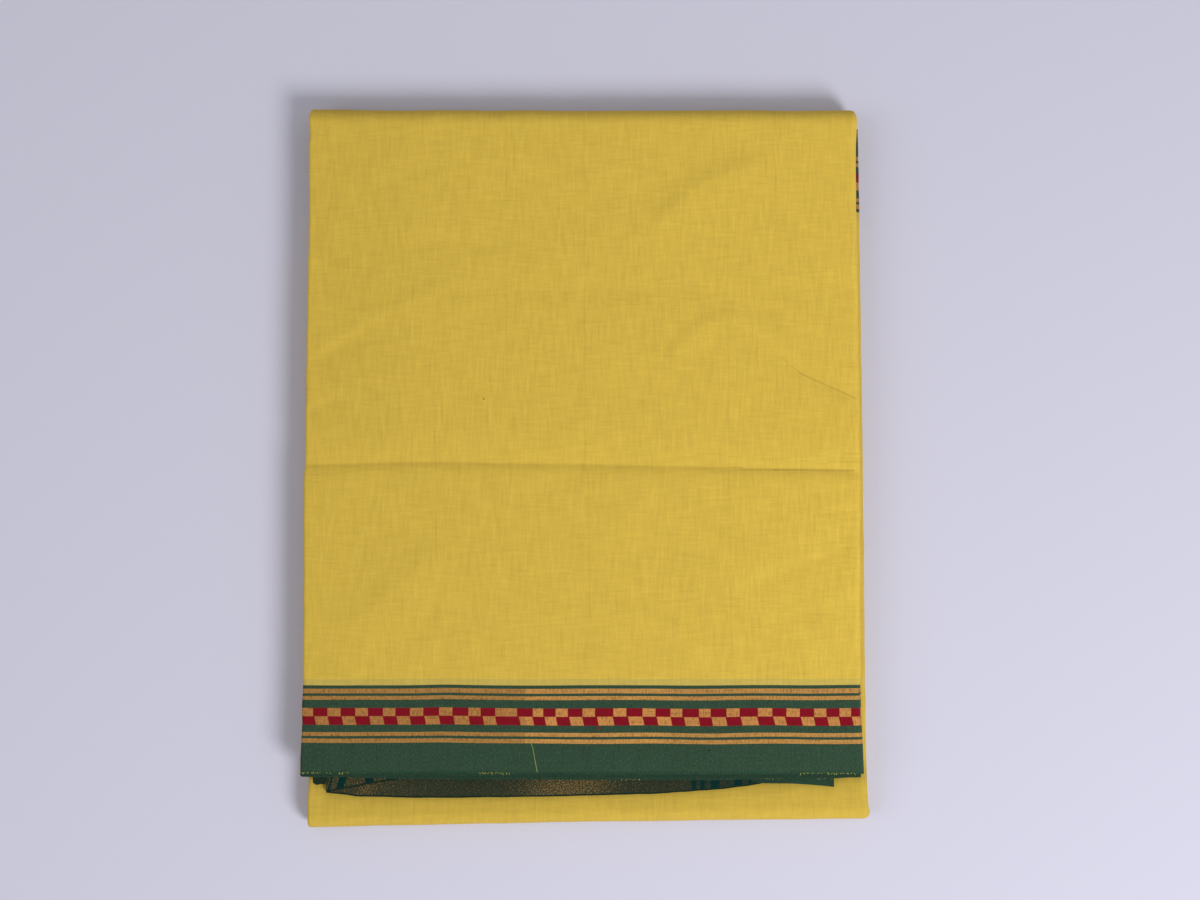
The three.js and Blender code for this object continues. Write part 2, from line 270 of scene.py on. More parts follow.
class ClothFinish:
    """What all the woven finishes share: the threads, their slubs, the bump and the points' painted light and
    shade.
    """

    def __init__(self, name: str, yarn: Yarn) -> None:
        """Makes the material and reads the cloth's own coordinates.

        Args:
            name: The material's name.
            yarn: The threads.
        """
        self.yarn = yarn
        self.material, self.nodes = blank_material(name)
        place = self.nodes.add("ShaderNodeUVMap", {"uv_map": "weave"}, {})
        split = self.nodes.make("ShaderNodeSeparateXYZ", {}, {0: place})
        self.along, self.across = (Wire(self.nodes, split.outputs[k]) * (1 / MM) for k in (0, 1))
        # The painted light and shade: each point's brightness, below 1 where shade is painted and above 1
        # where light is.
        self.tone = self.nodes.add("ShaderNodeAttribute", {"attribute_name": "tone"}, {}, "Fac")

    def noise(self, along: float, across: float, detail: float = 2.0) -> Wire:
        """A noise whose spots have a length along and across the cloth.

        Args:
            along: The spots' length along the cloth, in millimetres.
            across: Their width across it.
            detail: How many finer octaves it has.

        Returns:
            The noise, about 0 to 1.
        """
        scaled = {0: self.along * (1 / along), 1: self.across * (1 / across)}
        vector = self.nodes.add("ShaderNodeCombineXYZ", {}, scaled)
        values = {"Vector": vector, "Scale": 1.0, "Detail": detail, "Roughness": 0.6}
        return self.nodes.add("ShaderNodeTexNoise", {"noise_dimensions": "2D"}, values)

    def slubs(self) -> tuple[Wire, Wire]:
        """The uneven threads, along the cloth and across it."""
        return self._threads(self.along, self.across), self._threads(self.across, self.along)

    def _threads(self, place: Wire, side: Wire) -> Wire:
        """Straight threads, each thick and thin in its own places.

        Args:
            place: The place along the threads.
            side: The place across them.

        Returns:
            How thick each thread is, about 0 to 1.
        """
        yarn, one_way = self.yarn, {"noise_dimensions": "1D"}
        total = 0.0
        for width in (yarn.slub_width, yarn.slub_width * 1.9):
            number = (side * (1 / width)).floor()
            own = self.nodes.add("ShaderNodeTexWhiteNoise", one_way, {"W": number}, "Value")
            values = {"W": place * (1 / yarn.slub_length) + own * yarn.own_place, "Scale": 1.0, "Detail": 2.0}
            total = total + self.nodes.add("ShaderNodeTexNoise", one_way, values) * 0.5
        return total

    def weave(self) -> Wire:
        """The plain weave's height, from -1 to 1, threads crossing over and under."""
        turn = 2 * math.pi / self.yarn.pitch
        return (self.along * turn).sine() * (self.across * turn).sine()

    def dress(self, colour: Wire, roughness: Any, metallic: Any, slub: Wire, sheen: float,
              shine: float) -> None:
        """Ends the material with its shader.

        Args:
            colour: The cloth's colour.
            roughness: Its roughness, a wire or a number.
            metallic: How metallic it is, a wire or a number.
            slub: The height of the slubs, for the bump.
            sheen: The weight of the soft sheen of loose fibres.
            shine: The level of the mirror-like part.
        """
        height = self.weave() * 0.5 + slub * self.yarn.unevenness
        self.nodes.end(
            Base_Color=colour, Roughness=roughness, Metallic=metallic, Specular_IOR_Level=shine,
            Sheen_Weight=sheen, Sheen_Roughness=0.5, Normal=self.nodes.bump(0.5, self.yarn.relief, height),
        )


@dataclass(frozen=True)
class BorderDraft:
    """The border's bands, by their distance from the selvedge."""

    gold: tuple[tuple[float, float], ...] = ((18.5, 20.7), (22.05, 24.15), (41.8, 44.0), (45.4, 47.9))
    before_checks: float = 28.3
    between_checks: float = 33.0
    after_checks: float = 37.5
    border: float = 49.8
    greenish: float = 53.0

    def bands(self) -> list[tuple[float, bool]]:
        """Where each band starts, from the selvedge on, and whether it is gold."""
        return [(0.0, False)] + [(edge, k == 0) for pair in self.gold for k, edge in enumerate(pair)]


class SareeFinish(ClothFinish):
    """The saree's cloth: a yellow body with the woven border along each side."""

    RANGE = 60.0
    DARK_EDGE = 3.2
    SHINES = ((-33.0, 0.26), (48.0, -0.13))

    def __init__(self, draft: BorderDraft) -> None:
        """Builds the nodes.

        Args:
            draft: The border's bands.
        """
        super().__init__("saree_cotton", Yarn())
        self.draft = draft
        nodes = self.nodes
        warp, weft = self.slubs()
        place = self.across + (self.noise(0.5, 0.5) * 0.3 - 0.15)
        share = place * (1 / self.RANGE)
        bands = self._ramp(share, GREEN, GOLD, GREENISH, YELLOW)
        in_border = place < draft.border
        checks, check_gold, in_checks = self._checks(place)
        is_gold = self._ramp(share, BLACK, WHITE, BLACK, BLACK) * (1 - in_checks) + check_gold * in_checks
        is_green = in_border * (1 - is_gold) * (1 - in_checks)
        body = nodes.mix(warp * 0.5 + weft * 0.5, YELLOW_THIN, YELLOW_SLUB)
        body = nodes.mix(0.3, bands, body)
        body = nodes.mix(place > draft.greenish, body, nodes.mix(0.7, bands, body))
        body = nodes.mix(in_border, body, bands)
        body = nodes.mix((place < self.DARK_EDGE) * 0.6, body, GREEN_EDGE)
        body = nodes.mix(in_checks, body, checks)
        worn = self.noise(11.0, 0.4, 1.0) * 1.3 + self.noise(0.8, 2.4, 0.0) * 1.3 - 1.15
        body = nodes.mix(worn * is_gold, body, GOLD_DARK)
        body = nodes.mix((weft * 3.0 - 1.2) * is_green * 0.65, body, GREEN_DARK)
        body = nodes.mix((self.noise(0.7, 1.4, 1.0) * 2.4 - 1.1) * is_green * 0.3, body, GREEN_SHOT)
        shine = -0.12
        for start, step in self.SHINES:
            shine = shine + (self.along > start) * step
        grain = self.noise(0.9, 0.9, 0.0)
        light = (warp - 0.5) * 0.22 + (weft - 0.5) * 0.31 + (grain - 0.5) * 0.08 + 1.0 + shine * is_gold
        # The points' painted light and shade, then painted lines of shade and light along pressed lines and
        # creases.
        light = light * self.tone
        for line in PAINTED_CREASE_LINES:
            light = light * (1 - line.near(self.along, self.across) * line.dark)
        colour = self._specks(nodes.mix(1.0, body, nodes.grey(light), "MULTIPLY"))
        metallic = is_gold * (self.noise(0.7, 0.35, 1.0) * 1.6 - 0.45)
        self.dress(colour, 0.9 - is_gold * 0.4, metallic, warp + weft, 0.05, 0.18)

    def _ramp(self, share: Wire, green: Colour, gold: Colour, greenish: Colour, yellow: Colour) -> Wire:
        """The bands in given colours.

        Args:
            share: The place from the selvedge over the ramp's range.
            green: The colour of the ground.
            gold: The colour of the gold bands.
            greenish: The colour just above the border.
            yellow: The colour of the body.

        Returns:
            The colour at each place.
        """
        stops = [(start / self.RANGE, gold if is_gold else green) for start, is_gold in self.draft.bands()]
        stops += [(self.draft.border / self.RANGE, greenish), (self.draft.greenish / self.RANGE, yellow)]
        return self.nodes.add("ShaderNodeValToRGB", {"interpolation": "CONSTANT", "stops": stops}, {0: share})

    def _checks(self, place: Wire) -> tuple[Wire, Wire, Wire]:
        """The two rows of red and gold checks.

        Args:
            place: The distance from the selvedge.

        Returns:
            Their colour, where they are gold, and where they are.
        """
        nodes, draft = self.nodes, self.draft
        phases = nodes.add("ShaderNodeUVMap", {"uv_map": "checks"}, {})
        split = nodes.make("ShaderNodeSeparateXYZ", {}, {0: phases})
        upper, lower = (Wire(nodes, split.outputs[k]).floor() % 2.0 for k in (0, 1))
        is_upper = place > draft.between_checks
        gold = upper * is_upper + lower * (1 - is_upper)
        inside = (place > draft.before_checks) * (place < draft.after_checks)
        red = nodes.mix(self.noise(0.5, 3.0) * 1.4 - 0.3, RED, RED_DARK)
        return nodes.mix(gold, red, GOLD_CHECK), gold, inside

    def _specks(self, colour: Wire) -> Wire:
        """Adds the few specks in the weave.

        Args:
            colour: The colour so far.

        Returns:
            The colour with them.
        """
        for x, from_selvedge, radius, tint in SPECKS:
            dx, dy = self.along - x, self.across - from_selvedge
            colour = self.nodes.mix(((dx * dx + dy * dy) < radius * radius) * 0.8, colour, tint)
        return colour


@dataclass(frozen=True)
class PaintedCreaseLine:
    """Painted shade along a hair-thin line pressed into the cloth by the edge of a layer inside, or along a
    crease; painted light where it is lighter.
    """

    start: tuple[float, float]
    end: tuple[float, float]
    dark: float
    half_width: float = 0.6

    def near(self, x: Wire, y: Wire) -> Wire:
        """How near each place is to the line.

        Args:
            x: Places along the cloth.
            y: Places across it.

        Returns:
            One on the line, falling to zero at half its width.
        """
        dx, dy = self.end[0] - self.start[0], self.end[1] - self.start[1]
        length = math.hypot(dx, dy)
        dx, dy = dx / length, dy / length
        x, y = x - self.start[0], y - self.start[1]
        along = ((x * dx + y * dy) * (1 / length)).limited() * length
        x, y = x - along * dx, y - along * dy
        return (1 - (x * x + y * y) * self.half_width**-2).limited()


# The last numbers of each are how dark its painted shade is, less than zero where it is painted light,
# and half its width. Places are along the cloth and from selvedge A. The later lines deepen creases
# with painted shade, the last three the storage fold's right part.
PAINTED_CREASE_LINES = (
    PaintedCreaseLine((-0.6, 374), (0.2, 170), 0.063),
    PaintedCreaseLine((1.9, 170), (3.0, 86), 0.063),
    PaintedCreaseLine((81.4, 374), (81.2, 170), 0.045),
    PaintedCreaseLine((81.2, 170), (82.0, 55), 0.063),
    PaintedCreaseLine((109.0, 374), (108.1, 55), 0.036),
    PaintedCreaseLine((-85.2, 218), (-82.6, 119), 0.063),
    PaintedCreaseLine((-84.2, 167), (-81.6, 119), -0.045),
    PaintedCreaseLine((-97.4, 192), (-97.1, 170), 0.054),
    PaintedCreaseLine((-45.3, 371), (-43.9, 210), 0.045),
    PaintedCreaseLine((-90.4, 59), (-89.5, 20), -0.075),
    PaintedCreaseLine((111.6, 233.8), (121.7, 224.9), 0.09),
    PaintedCreaseLine((121.7, 224.9), (153.1, 210.4), 0.18, 0.7),
    PaintedCreaseLine((137.4, 174.4), (154.9, 174.4), 0.162, 0.5),
    PaintedCreaseLine((146.5, 178.6), (155.0, 178.9), 0.09, 0.5),
    PaintedCreaseLine((-156.1, 167.1), (-134.0, 167.1), 0.072, 0.5),
    PaintedCreaseLine((64.8, 170.9), (88.5, 170.2), 0.045, 0.9),
    PaintedCreaseLine((88.5, 170.2), (107.0, 169.8), 0.13, 0.9),
    PaintedCreaseLine((107.0, 169.8), (151.5, 169.4), 0.24, 0.8),
)

# Each speck's place along the cloth and from selvedge A, its radius and its colour.
SPECKS = (
    (7.7, 26.9, 0.75, srgb(120, 4, 20)),
    (68.8, 15.0, 0.6, srgb(16, 20, 18)),
    (-57.0, 210.3, 0.5, srgb(120, 90, 40)),
)


@dataclass(frozen=True)
class WeftBands:
    """Gold bands across a dark ground, by their start and end along the cloth."""

    gold: tuple[tuple[float, float], ...]
    plain_from: float
    plain_to: float
    strength: float = 1.0
    ends: tuple[float, float] = (-150.0, 150.0)

    def stops(self, ground: Colour, gold: Colour) -> list[tuple[float, Colour]]:
        """The bands as a ramp's stops.

        Args:
            ground: The colour between the bands.
            gold: The colour of the bands.

        Returns:
            The stops over the range from one end to the other.
        """
        low, high = self.ends
        made = [(0.0, ground)]
        for start, end in self.gold:
            made.append(((start - low) / (high - low), gold))
            made.append(((end - low) / (high - low), ground))
        return made


class PalluFinish(ClothFinish):
    """The dark end piece, shot with brown-gold, with bands near its end."""

    LEAN = 0.35
    LEANS_BEFORE = -128.0
    LEAN_PIVOT = 4.0
    SELVEDGE = 0.9

    def __init__(self, name: str, bands: WeftBands) -> None:
        """Builds the nodes.

        Args:
            name: The material's name.
            bands: Where the gold bands are.
        """
        super().__init__(name, Yarn(pitch=0.4, unevenness=1.2))
        nodes = self.nodes
        warp, weft = self.slubs()
        low, high = bands.ends
        place = self.along + (self.noise(0.6, 2.0) * 0.6 - 0.3)
        place = place - (self.across - self.LEAN_PIVOT) * self.LEAN * (self.along < self.LEANS_BEFORE)
        ramp = {"interpolation": "CONSTANT", "stops": bands.stops(BLACK, WHITE)}
        gold = nodes.add("ShaderNodeValToRGB", ramp, {0: (place - low) * (1 / (high - low))})
        gold = nodes.add("ShaderNodeRGBToBW", {}, {0: gold})
        plain = (place > bands.plain_from) * (place < bands.plain_to)
        spark = self.noise(0.8, 0.6, 1.0)
        # The points' painted light raises the gold sparkle: painted highlights on the end piece.
        shot = nodes.mix(spark * 3.0 - 1.85 + (self.tone - 1.0), BROWN_GOLD, BROWN_SPARK)
        band = nodes.mix(spark * 2.6 - 1.3, BROWN_GOLD, BROWN_SPARK)
        colour = nodes.mix(gold * bands.strength, nodes.mix(plain, TEAL, shot), band)
        colour = nodes.mix(self.across < self.SELVEDGE, colour, PALLU_EDGE)
        colour = nodes.mix(1.0, colour, nodes.grey((weft - 0.5) * 0.4 + 1.0), "MULTIPLY")
        metallic = (gold + plain * (1 - gold)) * (spark * 1.6 - 0.75)
        self.dress(colour, 0.7, metallic, warp + weft, 0.02, 0.06)


class PlainFinish:
    """A matt finish with a fine mottle, for threads and for the floor."""

    def __init__(self, name: str, light: Colour, dark: Colour, grain: float, roughness: float) -> None:
        """Builds the nodes.

        Args:
            name: The material's name.
            light: The lighter colour.
            dark: The darker colour.
            grain: The size of the mottle, in millimetres.
            roughness: The surface's roughness.
        """
        self.material, nodes = blank_material(name)
        place = nodes.add("ShaderNodeTexCoord", {}, {}, "Object")
        values = {"Vector": place, "Scale": 1 / (grain * MM), "Detail": 3.0}
        mottle = nodes.add("ShaderNodeTexNoise", {}, values)
        nodes.end(
            Base_Color=nodes.mix(mottle, dark, light), Roughness=roughness, Specular_IOR_Level=0.2,
            Normal=nodes.bump(0.2, 0.05, mottle),
        )


# -------------------------------------------------------------------- shapes


@dataclass(frozen=True)
class Ripples:
    """A gentle unevenness made of many long waves."""

    height: float
    shortest: float
    longest: float
    seed: int
    waves: int = 16

    def at(self, x: np.ndarray, y: np.ndarray) -> np.ndarray:
        """The unevenness at each place.

        Args:
            x: Places in one direction.
            y: Places in the other.

        Returns:
            Heights, most of them within the given height of zero.
        """
        draw = np.random.default_rng(self.seed)
        total = np.zeros(np.broadcast(x, y).shape)
        for _ in range(self.waves):
            length = draw.uniform(self.shortest, self.longest)
            angle, phase = draw.uniform(0, 2 * math.pi, 2)
            across = (x * math.cos(angle) + y * math.sin(angle)) * (2 * math.pi / length)
            total += np.sin(across + phase)
        return total * self.height * math.sqrt(2 / self.waves) / 1.5


@dataclass(frozen=True)
class Crease:
    """A soft trough, or a ridge where its depth is negative, through points."""

    points: tuple[tuple[float, float], ...]
    depth: float
    left_width: float
    right_width: float
    fade: float = 14.0
    sharpness: float = 1.5

    def height(self, x: np.ndarray, y: np.ndarray) -> np.ndarray:
        """How far the crease moves the cloth.

        Args:
            x: Places to the right.
            y: Places to the back.

        Returns:
            Heights, negative in a trough.
        """
        best = np.full(x.shape, 1e9)
        side = np.zeros(x.shape)
        run = np.zeros(x.shape)
        before = 0.0
        for (ax, ay), (bx, by) in zip(self.points, self.points[1:]):
            dx, dy = bx - ax, by - ay
            length = math.hypot(dx, dy)
            share = np.clip(((x - ax) * dx + (y - ay) * dy) / length**2, 0, 1)
            ox, oy = x - ax - share * dx, y - ay - share * dy
            distance = np.hypot(ox, oy)
            nearer = distance < best
            best = np.where(nearer, distance, best)
            side = np.where(nearer, dx * oy - dy * ox, side)
            run = np.where(nearer, before + share * length, run)
            before += length
        width = np.where(side > 0, self.left_width, self.right_width)
        ends = np.clip(np.minimum(run, before - run) / self.fade + 0.15, 0, 1)
        return -self.depth * ends * np.exp(-((best / width) ** self.sharpness))


@dataclass(frozen=True)
class Course:
    """Rows of the strip's path: the middle line, the way out and the edges."""

    y: np.ndarray
    z: np.ndarray
    out_y: np.ndarray
    out_z: np.ndarray
    left: np.ndarray
    right: np.ndarray
    slant: np.ndarray


@dataclass(frozen=True)
class Strip:
    """The long strip of layers, folded in three: top flap, base flap, inner flap."""

    half: float = 3.4
    base_level: float = 3.4
    inner_level: float = 10.5
    top_level: float = 17.6
    selvedge_a_y: float = -175.1
    selvedge_b_y: float = 192.9
    back_y: float = 194.0
    front_y: float = -195.15
    slant_from_y: float = -100.0
    slant_a: float = 0.0036
    slant_front: float = 0.0155
    edges: dict[Flap, tuple[tuple[float, float, float], ...]] = field(
        default_factory=lambda: {
            Flap.TOP: (
                (-176, -157.6, 155.2), (-166, -157.6, 154.9), (-145, -156.8, 154.1), (-134, -156.9, 153.9),
                (-100, -157.2, 154.2), (-67, -157.3, 154.6), (-34, -158.1, 155.0), (-7, -158.1, 155.3),
                (-2, -157.5, 155.3), (46, -157.8, 155.4), (97, -157.8, 155.4), (132, -157.5, 155.4),
                (150, -157.7, 155.2), (172, -158.3, 155.4), (182, -158.3, 155.6), (187, -157.8, 156.0),
                (192, -158.1, 156.2), (197, -158.7, 156.4),
            ),
            Flap.BASE: (
                (-199, -154.6, 159.2), (-195, -154.4, 158.2), (-180, -154.0, 157.9), (-150, -154.6, 157.5),
                (0, -156.6, 157.4), (194, -157.8, 156.8),
            ),
            Flap.INNER: (
                (-199, -154.6, 159.6), (-195, -154.4, 158.5), (-180, -153.9, 157.6), (-150, -154.6, 157.4),
                (0, -156.6, 158.0), (192, -157.4, 157.9),
            ),
        }
    )

    @property
    def back_radius(self) -> float:
        """The middle line's radius round the back fold."""
        return (self.top_level - self.base_level) / 2

    @property
    def front_radius(self) -> float:
        """The middle line's radius round the front fold."""
        return (self.inner_level - self.base_level) / 2

    @property
    def knots(self) -> tuple[float, float, float, float, float]:
        """The outer sheet's length up to the end of each flap and fold.

        Returns:
            The ends of the top flap, the back fold, the base flap, the front fold
            and the inner flap.
        """
        top = self.back_y - self.selvedge_a_y
        back = top + math.pi * (self.back_radius + self.half)
        base = back + self.back_y - self.front_y
        front = base + math.pi * (self.front_radius + self.half)
        return top, back, base, front, front + self.selvedge_b_y - self.front_y

    def _edges(self, flap: Flap, y: np.ndarray) -> np.ndarray:
        """The left and the right edge of a flap at places along it."""
        table = np.array(self.edges[flap], float)
        return np.stack([np.interp(y, table[:, 0], table[:, k]) for k in (1, 2)])

    def at(self, run: np.ndarray) -> Course:
        """Follows the strip's path.

        Args:
            run: Lengths of the outermost sheet from selvedge A.

        Returns:
            The path's rows there.
        """
        top, back, base, front, _ = self.knots
        back_turn = math.pi / 2 - (run - top) / (self.back_radius + self.half)
        front_turn = -math.pi / 2 - (run - base) / (self.front_radius + self.half)
        level_back = (self.top_level + self.base_level) / 2
        level_front = (self.inner_level + self.base_level) / 2
        parts = [run < top, run < back, run < base, run < front, run >= front]
        flat = 0 * run

        def joined(*rows: np.ndarray) -> np.ndarray:
            """Takes each row's value from the part that it is in."""
            return np.select(parts, [row + flat for row in rows])

        y = joined(
            self.selvedge_a_y + run,
            self.back_y + self.back_radius * np.cos(back_turn),
            self.back_y - (run - back),
            self.front_y + self.front_radius * np.cos(front_turn),
            self.front_y + (run - front),
        )
        z = joined(
            self.top_level,
            level_back + self.back_radius * np.sin(back_turn),
            self.base_level,
            level_front + self.front_radius * np.sin(front_turn),
            self.inner_level,
        )
        out_y = joined(0, np.cos(back_turn), 0, np.cos(front_turn), 0)
        out_z = joined(1, np.sin(back_turn), -1, np.sin(front_turn), 1)
        share_back, share_front = (run - top) / (back - top), (run - base) / (front - base)
        left, right = (
            joined(a, a + share_back * (b - a), b, b + share_front * (c - b), c)
            for a, b, c in zip(*(self._edges(flap, y) for flap in Flap))
        )
        slant = np.where(run < back, self.slant_a, self.slant_front)
        return Course(y, z, out_y, out_z, left, right, slant)

    def slanted(self, x: np.ndarray, y: np.ndarray, slant: Any) -> np.ndarray:
        """The places to the back, with the front's slant, which grows to the front."""
        reach = self.slant_from_y - self.front_y
        return y + x * slant * np.clip((self.slant_from_y - y) / reach, 0, 1)

    def points(self, course: Course, x: np.ndarray, t: np.ndarray) -> np.ndarray:
        """Places points of the strip in the part's frame.

        Args:
            course: The rows of the path.
            x: Places across it, one row for each of the course's.
            t: How far they are out from the middle line.

        Returns:
            The points, rows by columns by three.
        """
        y = course.y[:, None] + course.out_y[:, None] * t
        z = course.z[:, None] + course.out_z[:, None] * t
        return np.stack([x, self.slanted(x, y, course.slant[:, None]), z], axis=-1)


@dataclass(frozen=True)
class Section:
    """A sheet's way across the strip: a roll on the left and a fold on the right.

    The level is the height of its outer side above the strip's middle. The roll
    turns down by left_drop and goes back under for left_leg. Where right_leg is
    none, the sheet ends at reach from the left edge.
    """

    level: float
    left_drop: float
    left_leg: float
    right_leg: float | None
    reach: float = 12.0
    columns: int = 150
    inset: float = 0.0
    turn_steps: int = 9
    strip_width: float = 313.0

    @property
    def width(self) -> float:
        """The sheet's width, laid flat, from its left end to the end of its return."""
        flat = self.strip_width - self.left_drop / 2 - self.level
        return self.left_leg + math.pi * (self.left_drop / 2 + self.level) + flat + self.right_leg

    def columns_at(self, left: np.ndarray, right: np.ndarray) -> tuple[np.ndarray, np.ndarray, np.ndarray]:
        """The sheet's points across each row.

        Args:
            left: The strip's left edge in each row.
            right: Its right edge.

        Returns:
            The places across, the levels, and the lengths along the cloth.
        """
        left, right = left[:, None] + self.inset, right[:, None]
        radius = self.left_drop / 2
        start = left + radius
        parts: list[tuple[np.ndarray, ...]] = []

        def add(place: np.ndarray, level: Any, length: np.ndarray) -> None:
            """Adds some columns."""
            parts.append(np.broadcast_arrays(place, level, length))

        even = np.linspace(0.01, 0.99, self.columns)
        share = np.concatenate([[0.0, 0.0015, 0.005], even, [0.995, 0.9985, 1.0]])
        if self.left_drop:
            back = np.linspace(self.left_leg, 0.4, 4)
            add(start + back, self.level - self.left_drop, start - math.pi * radius - back)
            turn = np.linspace(math.pi, 0, self.turn_steps)
            level = self.level - radius + radius * np.cos(turn)
            add(start - radius * np.sin(turn), level, start - radius * turn)
            share = share[1:]
        end = left + self.reach if self.right_leg is None else right - self.level
        flat = start + share * (end - start)
        add(flat, self.level, flat)
        if self.right_leg is not None:
            turn = np.linspace(0, math.pi, self.turn_steps + 3)[1:]
            add(end + self.level * np.sin(turn), self.level * np.cos(turn), end + self.level * turn)
            back = np.linspace(0, self.right_leg, 5)[1:]
            add(end - back, -self.level, end + math.pi * self.level + back)
        places, levels, lengths = (np.hstack(columns) for columns in zip(*parts))
        return places, levels, lengths


@dataclass(frozen=True)
class CheckChart:
    """Where the checks change colour along the cloth, charted from the cloth."""

    upper: tuple[float, ...]
    lower: tuple[float, ...]
    scale: float = 0.553
    middle: float = 600.0
    offset: float = 8.6
    lean: float = 0.22

    def phases(self, along: np.ndarray, across: np.ndarray, between: float) -> np.ndarray:
        """Counts the checks along the cloth.

        Args:
            along: Lengths along the cloth.
            across: Distances from the selvedge.
            between: The distance at which the two rows meet.

        Returns:
            For each place, the count in the upper row and in the lower one; an
            odd whole part is gold.
        """
        made = []
        for chart, first, lean in ((self.upper, 1, 0.0), (self.lower, 0, self.lean)):
            marks = (np.array(chart) - self.middle) * self.scale + self.offset
            count = np.arange(len(marks)) + first
            place = along - lean * (between - across)
            inside = np.interp(place, marks, count)
            pitch = np.mean(np.diff(marks))
            inside = np.where(place < marks[0], count[0] + (place - marks[0]) / pitch, inside)
            inside = np.where(place > marks[-1], count[-1] + (place - marks[-1]) / pitch, inside)
            made.append(inside)
        return np.stack(made, axis=-1)


CHECKS = CheckChart(
    upper=(
        299.5, 312, 326.6, 339.5, 354.3, 366.9, 382.3, 394.5, 409.2, 422.5, 438.7, 451.6, 467.9, 480.1,
        494.7, 516.9, 532.8, 542.9, 555.4, 567.7, 582.6, 594.7, 613.6, 626.3, 642.9, 655.5, 671, 682.5,
        699.5, 710.7, 727.1, 740, 758.7, 772.9, 787.2, 800.5, 815, 827.2, 840.5, 852, 862.6,
    ),
    lower=(
        299.8, 313.5, 326.5, 340.9, 353.5, 368.4, 381.8, 395.8, 408.7, 423.8, 438, 452.7, 467.9, 482.3,
        494.5, 518.8, 532.1, 544.4, 555.3, 569.2, 581.9, 596.9, 612.7, 628, 642.6, 656.8, 670.7, 684.1,
        698.7, 711.7, 726, 741.1, 757.6, 774.1, 785.5, 801.7, 814.2, 828.2, 839.3, 852.8, 864,
    ),
)


def put(name: str, mesh: bpy.types.Mesh, slot: Slot) -> Object:
    """Links a mesh as a piece at the origin and gives it its place in the frame.

    Args:
        name: The piece's name.
        mesh: Its mesh, in metres.
        slot: The record's slot that its finish belongs to; it is not used.

    Returns:
        The new object.
    """
    piece = bpy.data.objects.new(name, mesh)
    bpy.context.scene.collection.objects.link(piece)
    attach(piece, "root")
    LOG.info("%s: %d faces", name, len(mesh.polygons))
    return piece


class Cloth:
    """Collects the closed thin shells of one piece and makes its mesh."""

    def __init__(self, name: str) -> None:
        """Starts an empty piece.

        Args:
            name: The piece's name.
        """
        self.name = name
        self.points: list[np.ndarray] = []
        self.faces: list[np.ndarray] = []
        self.rims: list[np.ndarray] = []
        self.weave: list[np.ndarray] = []
        self.painted_shadings: list[np.ndarray] = []
        self.count = 0

    def add_shell(self, outer: np.ndarray, wall: Any, weave: np.ndarray, tone: Any = 1.0) -> None:
        """Adds one sheet as a closed shell.

        Args:
            outer: Its outer side, rows by columns by three.
            wall: The cloth's thickness, or the points of the sheet's inner side.
            weave: Each point's place in the cloth, along and across.
            tone: The painted light and shade, one brightness or one for each point.
        """
        if isinstance(wall, float):
            normal = np.cross(np.gradient(outer, axis=1), np.gradient(outer, axis=0))
            inner = outer - normal / np.linalg.norm(normal, axis=-1, keepdims=True) * wall
        else:
            inner = wall
        rows, columns = outer.shape[:2]
        index = np.arange(rows * columns).reshape(rows, columns) + self.count
        under = index + rows * columns

        def quads(*corners: np.ndarray) -> np.ndarray:
            """Joins four grids of corners into faces."""
            return np.stack([corner.ravel() for corner in corners], axis=1)

        sides = [
            quads(index[:-1, :-1], index[:-1, 1:], index[1:, 1:], index[1:, :-1]),
            quads(under[:-1, :-1], under[1:, :-1], under[1:, 1:], under[:-1, 1:]),
        ]
        rims = [
            quads(index[0, :-1], under[0, :-1], under[0, 1:], index[0, 1:]),
            quads(index[-1, :-1], index[-1, 1:], under[-1, 1:], under[-1, :-1]),
            quads(index[:-1, 0], index[1:, 0], under[1:, 0], under[:-1, 0]),
            quads(index[:-1, -1], under[:-1, -1], under[1:, -1], index[1:, -1]),
        ]
        self.faces.append(np.concatenate(sides + rims))
        self.rims.append(np.repeat([False, True], [sum(map(len, sides)), sum(map(len, rims))]))
        self.points += [outer.reshape(-1, 3), inner.reshape(-1, 3)]
        self.weave += [weave.reshape(-1, 2)] * 2
        self.painted_shadings += [np.broadcast_to(tone, (rows, columns)).ravel()] * 2
        self.count += 2 * rows * columns

    def finish(self, material: bpy.types.Material, slot: Slot, node: str) -> Object:
        """Makes the piece and gives it its place in the frame.

        Args:
            material: Its finish.
            slot: The record's slot that the finish belongs to.
            node: The solid that it stands for.

        Returns:
            The new object.
        """
        points = np.concatenate(self.points) * MM
        faces, weave = np.concatenate(self.faces), np.concatenate(self.weave)
        mesh = bpy.data.meshes.new(self.name)
        mesh.vertices.add(len(points))
        mesh.vertices.foreach_set("co", points.ravel())
        mesh.loops.add(faces.size)
        mesh.loops.foreach_set("vertex_index", faces.ravel())
        mesh.polygons.add(len(faces))
        mesh.polygons.foreach_set("loop_start", np.arange(0, faces.size, 4))
        mesh.update(calc_edges=True)
        mesh.polygons.foreach_set("use_smooth", ~np.concatenate(self.rims))
        checks = CHECKS.phases(weave[:, 0], weave[:, 1], BorderDraft().between_checks)
        for layer, values in (("weave", weave * MM), ("checks", checks)):
            uv = mesh.uv_layers.new(name=layer)
            uv.data.foreach_set("uv", values[faces.ravel()].ravel())
        # The painted light and shade, stored on the points for the finishes.
        tone = mesh.attributes.new("tone", "FLOAT", "POINT")
        tone.data.foreach_set("value", np.concatenate(self.painted_shadings))
        mesh.materials.append(material)
        mesh.validate()
        piece = put(self.name, mesh, slot)
        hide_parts(node)
        return piece


# ---------------------------------------------------------------- the pieces

